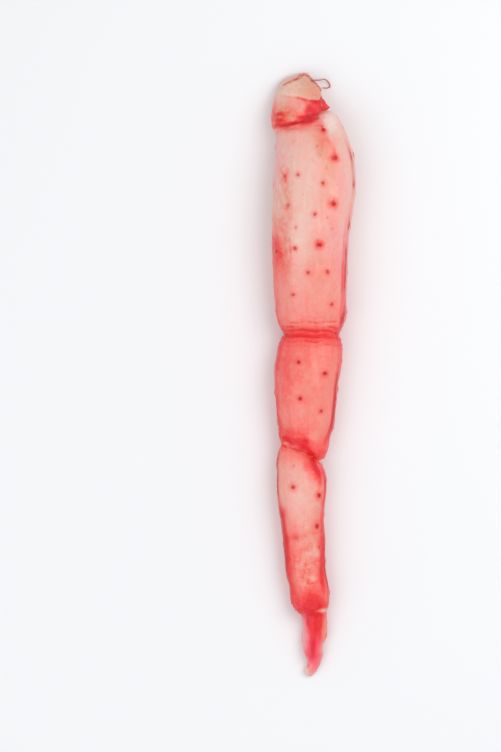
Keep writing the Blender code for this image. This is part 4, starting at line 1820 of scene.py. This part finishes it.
    def skin(self, g: Graph, grains: Grains) -> Wire:
        """Colours the skin, without its lines and spots.

        Args:
            g: The material's graph.
            grains: The finish's noises.

        Returns:
            The colour.
        """
        net = g.painted(Field.NET)
        level = g.painted(Field.RED) + grains.broad.swing(self.broad_weight)
        level = level + grains.mottle.swing(self.mottle_weight)
        vein = grains.veins * self.vein_weight + grains.blotch.swing(self.blotch_weight)
        level = level + net * vein
        level = level + grains.fibre.swing(self.fibre_weight) + grains.fine.swing(self.fine_weight)
        level = level.clamped()
        hue = g.painted(Field.HUE) + grains.broad.swing(self.hue_weight)
        hue = hue - net * (grains.blotch - self.net_middle) * self.net_warmth
        colour = self.ramp(g, level, self.plain)
        colour = g.mix((hue * -1.0).clamped(), colour, self.ramp(g, level, self.warm))
        colour = g.mix(hue.clamped(), colour, self.ramp(g, level, self.cool))
        # random pale mottling all over, and the painted highlight on the merus's shoulder
        clear = g.painted(Field.CLEAR) + grains.broad.swing(self.clear_weight)
        return g.mix((clear * self.pale_and_highlight_share).clamped(), colour, self.clear)

    def ramp(self, g: Graph, level: Wire, tones: tuple[Tone, ...]) -> Wire:
        """The colour of a level of red."""
        return g.ramp(level, tuple(zip(self.places, tones)))

    def line(self, g: Graph, grains: Grains) -> Wire:
        """Works out the seams and drawn lines.

        Args:
            g: The material's graph.
            grains: The finish's noises.

        Returns:
            How much of one lies at a place.
        """
        off = g.painted(Field.LINE_OFF) + grains.mottle.swing(self.seam_ragged[0])
        off = off + grains.fine.swing(self.seam_ragged[1])
        return off.eased(*self.seam_edge) * g.painted(Field.LINE).at_most(1.0)

    def spotted(self, g: Graph, grains: Grains, colour: Wire) -> tuple[Wire, Wire]:
        """Adds the spots to a colour.

        Args:
            g: The finish's graph.
            grains: Its noises.
            colour: The skin's colour.

        Returns:
            The colour with the spots, and how far the skin sinks in their middles.
        """
        apart = g.painted(Field.SPOT)
        tone = g.painted(Field.SPOT_TONE)
        halo = (apart + grains.blotch.swing(self.halo_ragged)).eased(*self.halo_edge) * tone * tone
        core = apart + grains.blotch.swing(self.core_ragged) + grains.mottle.swing(self.core_ragged)
        core = core.eased(*self.core_edge)
        pit = (apart + grains.mottle.swing(self.pit_ragged)).eased(*self.pit_edge)
        pit = pit * tone.eased(*self.pit_tones)
        colour = g.mix(halo * self.halo_share, colour, self.halo)
        strength = core * (tone * self.core_share).at_most(1.0)
        heart = g.mix(tone.eased(*self.faint_tones), self.faint_core, self.core)
        colour = g.mix(strength, colour, heart)
        return g.mix(pit * self.pit_share, colour, self.pit), core * tone


@dataclass(frozen=True)
class MembraneFinish:
    """Thin torn skin: its light and dark tones, and how far apart its blotches are."""

    name: str
    light: Tone
    dark: Tone
    blotches: float
    wet: WetSkin = WetSkin(roughness=0.32, depth=0.0009)
    finer: float = 4.0
    grain_weight: float = 0.5
    blotch_edge: Span = (0.34, 0.66)
    rough_weight: float = 0.2
    bump_strength: float = 0.5
    bump_distance: float = 0.0002

    def material(self) -> bpy.types.Material:
        """Builds the finish.

        Returns:
            The material.
        """
        g = Graph(self.name)
        self.wet.apply(g)
        place = g.place()
        blotch = g.noise(place, self.blotches, 4.0, 0.6)
        grain = g.noise(place, self.blotches * self.finer)
        share = (blotch + grain.swing(self.grain_weight)).eased(*self.blotch_edge)
        g.feed(g.shader.inputs["Base Color"], g.mix(share, self.dark, self.light))
        g.feed(g.shader.inputs["Roughness"], self.wet.roughness + grain.swing(self.rough_weight))
        sockets = {"Strength": self.bump_strength, "Distance": self.bump_distance, "Height": grain}
        g.feed(g.shader.inputs["Normal"], g.node("ShaderNodeBump", {}, sockets))
        return g.material


@dataclass(frozen=True)
class FloorFinish:
    """Smooth pale board."""

    tone: Tone = Tone(239, 240, 241)
    clouded: Tone = Tone(231, 233, 236)
    cloud_scale: float = 6.0
    cloud_share: float = 0.15
    roughness: float = 0.6

    def material(self) -> bpy.types.Material:
        """Builds the finish.

        Returns:
            The material.
        """
        g = Graph("pale_board")
        cloud = g.noise(g.place(), self.cloud_scale, 3.0)
        g.feed(g.shader.inputs["Base Color"], g.mix(cloud * self.cloud_share, self.tone, self.clouded))
        g.shader.inputs["Roughness"].default_value = self.roughness
        return g.material


# Pieces


def dress(made: bpy.types.Object, material: bpy.types.Material) -> bpy.types.Object:
    """Gives a piece its finish and smooth shading, and makes it part of the leg.

    Args:
        made: The piece.
        material: Its finish.

    Returns:
        The same piece.
    """
    made.data.materials.clear()
    made.data.materials.append(material)
    made.data.shade_smooth()
    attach(made, "root")
    return made


@dataclass(frozen=True)
class LegMeat:
    """The whole leg in one fine mesh: muscles, joint skin and hood, grown together."""

    form: LegForm
    joint_skin: JointSkin
    hood: Hood
    spots: Spots
    seams: Seams
    skin_paint: SkinPaint
    finish: MeatFinish
    name: str = "leg_meat"
    voxel: float = 0.000675
    smoothing: int = 5
    smooth_share: float = 0.5
    crease_shade_smoothing: int = 24
    crease_shade_rise: Span = (0.02, 0.25)
    fibre_height: float = 0.22
    fibre_spacing: Triple = (0.0022, 0.015, 0.0022)
    knead_height: float = 0.28
    knead_spacing: Triple = (0.006, 0.009, 0.006)
    hood_folds: float = 0.30
    hood_fold_spacing: Triple = (0.0045, 0.0020, 0.0045)
    hood_rise: Span = (0.0, 1.5)
    hood_fold_rise: Span = (3.0, 8.0)
    floor_fade: Span = (0.2, 2.5)

    def build(self) -> bpy.types.Object:
        """Builds, shapes, paints and dresses the leg.

        Returns:
            The finished piece.
        """
        shells = [muscle.shell(self.form.leg) for muscle in self.form.muscles]
        shells += self.joint_skin.shells()
        shells.append(self.hood.shell())
        made = self.grown_together(shells)
        self.add_relief(made.data)
        self.paint_skin(made)
        return dress(made, self.finish.material())

    def grown_together(self, shells: list[Shell]) -> bpy.types.Object:
        """Grows all the shells into one even mesh, flat where it rests.

        Args:
            shells: The shells, which overlap.

        Returns:
            The object with that mesh.
        """
        made = mesh_object(self.name, shells)
        remesh = made.modifiers.new("remesh", "REMESH")
        remesh.mode = "VOXEL"
        remesh.voxel_size = self.voxel
        smooth = made.modifiers.new("smooth", "SMOOTH")
        smooth.factor = self.smooth_share
        smooth.iterations = self.smoothing
        with_modifiers_applied(made)
        points = read_points(made.data)
        points[:, 2] = np.maximum(points[:, 2], 0.0)
        self.write(made.data, points)
        return made

    @staticmethod
    def write(mesh: bpy.types.Mesh, points: np.ndarray) -> None:
        """Moves the mesh's points."""
        mesh.vertices.foreach_set("co", points.astype(np.float32).ravel())
        mesh.update()

    def add_relief(self, mesh: bpy.types.Mesh) -> None:
        """Moves the skin out and in: spots' mounds, wrinkles, fibres and soft kneading.

        Args:
            mesh: The leg's mesh.
        """
        points = read_points(mesh)
        normals = read_normals(mesh)
        mounds = self.spots.measure(points)[2]
        fibres = noise_at(points, self.fibre_spacing, 31.0)
        kneading = noise_at(points, self.knead_spacing, 57.0)
        height = mounds + self.joint_skin.wrinkles(points) + self.seams.relief(points)
        height += self.fibre_height * fibres + self.knead_height * kneading
        cover = self.hood.cover(self.form.leg.along(points), self.form.leg.side(points))
        hood = ease(cover, *self.hood_rise)
        folds = 1 - np.abs(noise_at(points, self.hood_fold_spacing, 91.0)) * 2
        height += self.hood_folds * hood * folds * ease(points[:, 2] / MM, *self.hood_fold_rise)
        height *= ease(points[:, 2] / MM, *self.floor_fade)
        points += normals * (height * MM)[:, None]
        points[:, 2] = np.maximum(points[:, 2], 0.0)
        self.write(mesh, points)

    def creases(self, made: bpy.types.Object) -> np.ndarray:
        """Measures how deep each point lies in a crease, for the painted shade there.

        Args:
            made: The leg.

        Returns:
            A depth from 0 to 1 for each.
        """
        copy = made.copy()
        copy.data = made.data.copy()
        bpy.context.scene.collection.objects.link(copy)
        smooth = copy.modifiers.new("smooth", "SMOOTH")
        smooth.factor = self.smooth_share
        smooth.iterations = self.crease_shade_smoothing
        with_modifiers_applied(copy)
        rise = read_points(copy.data) - read_points(made.data)
        bpy.data.objects.remove(copy)
        inward = (rise * read_normals(made.data)).sum(axis=1) / MM
        return ease(inward, *self.crease_shade_rise)

    def paint_skin(self, made: bpy.types.Object) -> None:
        """Paints the fields that the finish reads.

        Args:
            made: The leg.
        """
        points = read_points(made.data)
        fields = self.skin_paint.fields(points)
        # painted shade in the creases
        fields[Field.CREASE] = self.creases(made)
        fields[Field.SPOT], fields[Field.SPOT_TONE], _ = self.spots.measure(points)
        for field, values in fields.items():
            paint(made.data, field, values)


@dataclass(frozen=True)
class Ground:
    """The finished skin, which the loose pieces lie on."""

    leg: LegFrame
    tree: BVHTree
    drop_from: float = 60.0
    seek_from: float = 8.0

    @classmethod
    def of(cls, made: bpy.types.Object, leg: LegFrame) -> "Ground":
        """Reads the skin of a finished piece."""
        faces = [tuple(face.vertices) for face in made.data.polygons]
        return cls(leg, BVHTree.FromPolygons([point.co for point in made.data.vertices], faces))

    def above(self, along: float, side: float, lift: float = 0.0) -> Vector:
        """Finds a point over the top of the skin.

        Args:
            along: Millimetres along the leg.
            side: Millimetres to the side.
            lift: Millimetres over the skin.

        Returns:
            The point in metres.
        """
        high = self.leg.place(along, side, self.drop_from)
        hit = self.tree.ray_cast(high, Vector((0.0, 0.0, -1.0)))[0]
        if hit is None:
            hit = self.tree.find_nearest(self.leg.place(along, side, self.seek_from))[0]
        return hit + Vector((0.0, 0.0, lift * MM))

    def near(self, point: Vector, lift: float) -> Vector:
        """The skin's nearest point to another, `lift` millimetres out along its normal."""
        hit, normal = self.tree.find_nearest(point)[:2]
        return hit + normal * lift * MM


@dataclass(frozen=True)
class TornRim:
    """The dark torn rim along the hood's end."""

    ground: Ground
    finish: MembraneFinish
    name: str = "torn_rim"
    route: Profile = (
        (7.9, -17.6), (6.7, -15.0), (5.5, -12.4), (4.4, -9.6), (2.5, -7.8), (1.7, -6.0), (2.2, -4.4),
        (4.2, -2.0), (6.8, 0.6), (9.1, 2.8), (10.8, 3.8),
    )
    lift: float = 0.06
    radius: float = 1.25
    flat: float = 0.4
    shake: float = 0.5
    flutter: float = 0.15
    end_share: float = 0.45
    lean: float = 0.7
    ragged: float = 0.40
    tattered: float = 0.25
    samples: int = 130
    sides: int = 10

    def build(self) -> bpy.types.Object:
        """Builds the rim as an uneven strand, thin where it is torn.

        Returns:
            The finished piece.
        """
        route = []
        radii = []
        for k, spot in enumerate(along_route(self.route, self.samples)):
            share = k / (self.samples - 1)
            ragged = noise.noise(Vector((spot[0] / 2.6, spot[1] / 2.6, 5.0)))
            tatters = noise.noise(Vector((spot[0] * 0.7, spot[1] * 0.7, 2.0)))
            lift = self.lift + self.flutter * tatters
            route.append(self.ground.above(spot[0] + self.shake * ragged, spot[1], lift))
            arch = math.sqrt(abs(math.sin(math.pi * share**self.lean)))
            swell = self.end_share + (1 - self.end_share) * arch
            uneven = 1 + self.ragged * ragged + self.tattered * tatters
            radii.append(self.radius * swell * uneven * MM)
        strand = Shell.tube(route, radii, self.sides, self.flat)
        return dress(mesh_object(self.name, [strand]), self.finish.material())


@dataclass(frozen=True)
class EdgeSeams:
    """The dark strands of the seams, half sunk into the leg's edges, thick at their knots."""

    seams: Seams
    ground: Ground
    finish: MembraneFinish
    name: str = "edge_seams"
    least: float = 0.40
    radius: float = 0.22
    knot: float = 0.70
    knot_from: float = 0.3
    ragged: float = 0.25
    sway: float = 0.5
    shortest: int = 5
    tip_share: float = 0.35
    tip_growth: float = 0.3
    sink: float = 0.20
    step: float = 0.7
    sides: int = 8

    def build(self) -> bpy.types.Object:
        """Builds a strand wherever a seam is strong enough.

        Returns:
            The finished piece.
        """
        shells = []
        for number, line in enumerate(self.seams.lines):
            points, strengths = self.evenly(*line.on_skin(self.seams.form))
            run: list[tuple[Vector, float]] = []
            for k, (point, strength) in enumerate(zip(points, strengths)):
                ragged = noise.noise(Vector((k / 2.6, number * 5.0, 3.0)))
                strength = float(strength) + self.ragged * ragged
                if strength > self.least:
                    rise = self.sway * MM * noise.noise(Vector((k / 5.0, number, 8.0)))
                    sway = Vector((0.0, 0.0, rise))
                    radius = self.radius + self.knot * max(strength - self.knot_from, 0.0) ** 2
                    run.append((self.ground.near(Vector(point) + sway, -self.sink), radius * MM))
                if run and (strength <= self.least or k == len(points) - 1):
                    if len(run) >= self.shortest:
                        shells.append(self.strand(run))
                    run = []
        return dress(mesh_object(self.name, shells), self.finish.material())

    def evenly(self, points: np.ndarray, values: np.ndarray) -> tuple[np.ndarray, np.ndarray]:
        """Divides a seam into even steps.

        Args:
            points: Its points in metres.
            values: Its strength at each.

        Returns:
            The same at even steps.
        """
        steps = np.linalg.norm(np.diff(points, axis=0), axis=1)
        passed = np.concatenate([[0.0], np.cumsum(steps)]) / MM
        where = np.arange(0.0, passed[-1], self.step)
        columns = [np.interp(where, passed, column) for column in points.T]
        return np.stack(columns, axis=1), np.interp(where, passed, values)

    def strand(self, run: list[tuple[Vector, float]]) -> Shell:
        """Makes one strand, thin at both ends.

        Args:
            run: Its points and radii, in metres.

        Returns:
            The closed strand.
        """
        last = len(run) - 1
        shares = [self.tip_share + self.tip_growth * min(k, last - k) for k in range(len(run))]
        radii = [radius * min(1.0, share) for (_, radius), share in zip(run, shares)]
        return Shell.tube([point for point, _ in run], radii, self.sides)


@dataclass(frozen=True)
class LooseThread:
    """The loose thread of skin, drooping from the rim to the surface below."""

    ground: Ground
    finish: MembraneFinish
    name: str = "loose_thread"
    root: Span = (4.9, -1.9)
    route: Route = (
        (4.7, 0.4, 8.7), (4.6, 3.0, 7.0), (4.0, 6.0, 4.0), (6.0, 8.6, 1.4), (8.2, 9.4, 0.6),
        (9.0, 7.4, 0.6), (8.9, 5.0, 0.7),
    )
    radius: float = 0.42
    uneven: float = 0.22
    root_share: float = 1.15
    taper: float = 0.45
    samples: int = 90
    sides: int = 10

    def build(self) -> bpy.types.Object:
        """Builds the thread, a little uneven, and thinner at its free end.

        Returns:
            The finished piece.
        """
        start = self.ground.above(*self.root, -0.2)
        points = [start] + [self.ground.leg.place(*spot) for spot in self.route]
        smooth = along_route(tuple(tuple(point) for point in points), self.samples)
        route = [Vector(point) for point in smooth]
        radii = []
        for k in range(self.samples):
            share = k / (self.samples - 1)
            uneven = 1 + self.uneven * noise.noise(Vector((k / 5.0, 0.0, 9.0)))
            radii.append(self.radius * uneven * (self.root_share - self.taper * share) * MM)
        thread = Shell.tube(route, radii, self.sides)
        return dress(mesh_object(self.name, [thread]), self.finish.material())


@dataclass(frozen=True)
class RedWeb:
    """The web of red skin on the right of the stub, rooted in the muscle."""

    form: LegForm
    finish: MembraneFinish
    name: str = "red_web"
    root: Route = ((15.0, 0.0, 15.0), (21.0, 1.0, 16.0), (28.0, 0.0, 17.0))
    edge: Route = ((14.2, 4.4, 12.0), (20.6, 9.4, 9.5), (24.6, 4.4, 15.0))
    sink: Span = (-4.0, -1.0)
    thickness: float = 1.1
    ragged: float = 0.10
    pucker: float = 0.55
    pucker_spacing: float = 2.6
    taper: float = 0.55
    rows: int = 56
    columns: int = 26

    def build(self) -> bpy.types.Object:
        """Builds the web as a thin sheet with puckers and a ragged free edge.

        Returns:
            The finished piece.
        """
        sheet = []
        for row in range(self.rows):
            leg = row / (self.rows - 1) * (len(self.edge) - 1)
            near = self.between(self.root, leg) + Vector((0.0, self.sink[0], self.sink[1]))
            far = self.between(self.edge, leg)
            ragged = 1 - self.ragged * abs(noise.noise(Vector((row / 3.1, 0.0, 4.0))))
            line = []
            for column in range(self.columns):
                share = column / (self.columns - 1)
                spot = near.lerp(far, share * ragged)
                seed = (spot.x / self.pucker_spacing, spot.y / self.pucker_spacing, 1.0)
                pucker = self.pucker * share * noise.noise(Vector(seed))
                line.append((spot, pucker, share))
            sheet.append(line)
        loops = []
        for line in sheet:
            over = [self.face(spot, pucker, share, 1) for spot, pucker, share in line]
            under = [self.face(spot, pucker, share, -1) for spot, pucker, share in reversed(line)]
            loops.append(over + under)
        tips = [sum(loop, Vector()) / len(loop) for loop in (loops[0], loops[-1])]
        shell = Shell.loft(loops, tips[0], tips[1])
        return dress(mesh_object(self.name, [shell]), self.finish.material())

    @staticmethod
    def between(route: Route, leg: float) -> Vector:
        """A point of a route of straight runs."""
        k = min(int(leg), len(route) - 2)
        return Vector(route[k]).lerp(Vector(route[k + 1]), leg - k)

    def face(self, spot: Vector, pucker: float, share: float, way: int) -> Vector:
        """A point of the web's upper or under face, in metres."""
        half = self.thickness / 2 * (1 - self.taper * share)
        return self.form.leg.place(spot.x, spot.y, spot.z + pucker + way * half)


# Studio


@dataclass(frozen=True)
class Lamp:
    """A square soft light: where it stands, its size in metres, and its power in watts."""

    name: str
    place: Triple
    size: float
    power: float

    def build(self) -> None:
        """Sets the light up, facing the leg's middle."""
        data = bpy.data.lights.new(self.name, "AREA")
        data.size = self.size
        data.energy = self.power
        lamp = bpy.data.objects.new(self.name, data)
        lamp.location = self.place
        lamp.rotation_mode = "QUATERNION"
        lamp.rotation_quaternion = (-Vector(self.place)).to_track_quat("-Z", "Y")
        bpy.context.scene.collection.objects.link(lamp)


@dataclass(frozen=True)
class Studio:
    """A pale floor, soft light from the right, and the camera straight above."""

    form: LegForm
    metres_per_pixel: float = 0.0005785
    frame_height: int = 752
    sensor: float = 36.0
    distance: float = 6.0
    skin_level: float = 0.012
    look_at: Span = (-0.03647, -0.0009)
    floor_size: float = 4.0
    floor_level: float = -0.0001
    sky: tuple[float, float, float, float] = (0.97, 0.98, 1.0, 1.0)
    sky_light: float = 0.66
    lamps: tuple[Lamp, ...] = (
        Lamp("key_light", (0.55, 0.25, 0.95), 0.7, 4.8),
        Lamp("fill_light", (-0.7, -0.5, 1.1), 1.1, 4.75),
    )

    def build(self) -> None:
        """Sets the stage."""
        self.add_floor()
        self.add_camera()
        for lamp in self.lamps:
            lamp.build()
        world = bpy.data.worlds.new("soft_room")
        bpy.context.scene.world = world
        world.use_nodes = True
        sky = world.node_tree.nodes["Background"]
        sky.inputs["Color"].default_value = self.sky
        sky.inputs["Strength"].default_value = self.sky_light
        bpy.context.scene.view_settings.view_transform = "Standard"

    def add_floor(self) -> None:
        """A large pale board just under the leg."""
        bpy.ops.mesh.primitive_plane_add(size=self.floor_size, location=(0.0, 0.0, self.floor_level))
        floor = bpy.context.object
        floor.name = "floor"
        floor.data.materials.append(FloorFinish().material())

    def add_camera(self) -> None:
        """The camera, straight above the frame's middle."""
        data = bpy.data.cameras.new("camera")
        data.sensor_width = self.sensor
        shown = self.metres_per_pixel * self.frame_height
        data.lens = self.sensor * self.distance / shown
        camera = bpy.data.objects.new("camera", data)
        camera.location = (*self.look_at, self.distance + self.skin_level)
        bpy.context.scene.collection.objects.link(camera)
        bpy.context.scene.camera = camera


def main() -> None:
    """Builds the leg's pieces and the studio."""
    logging.basicConfig(level=logging.INFO, format="%(message)s")
    form = LegForm()
    Studio(form).build()
    hood = Hood(form)
    seams = Seams(form)
    skin_paint = SkinPaint(form, hood, seams)
    meat = LegMeat(form, JointSkin(form), hood, Spots(form), seams, skin_paint, MeatFinish()).build()
    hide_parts(LEG_NODE)
    ground = Ground.of(meat, form.leg)
    brown = MembraneFinish("torn_skin", Tone(230, 154, 130), Tone(194, 100, 84), 600.0)
    mauve = MembraneFinish("thread_skin", Tone(216, 142, 132), Tone(172, 96, 94), 700.0)
    scarlet = MembraneFinish("web_skin", Tone(234, 62, 60), Tone(200, 28, 38), 380.0)
    maroon = MembraneFinish("seam_skin", Tone(222, 92, 90), Tone(190, 50, 56), 500.0)
    pieces = [
        meat,
        TornRim(ground, brown).build(),
        LooseThread(ground, mauve).build(),
        EdgeSeams(seams, ground, maroon).build(),
        RedWeb(form, scarlet).build(),
    ]
    for piece in pieces:
        log.info("%s: %d faces", piece.name, len(piece.data.polygons))


if __name__ == "__main__":
    main()
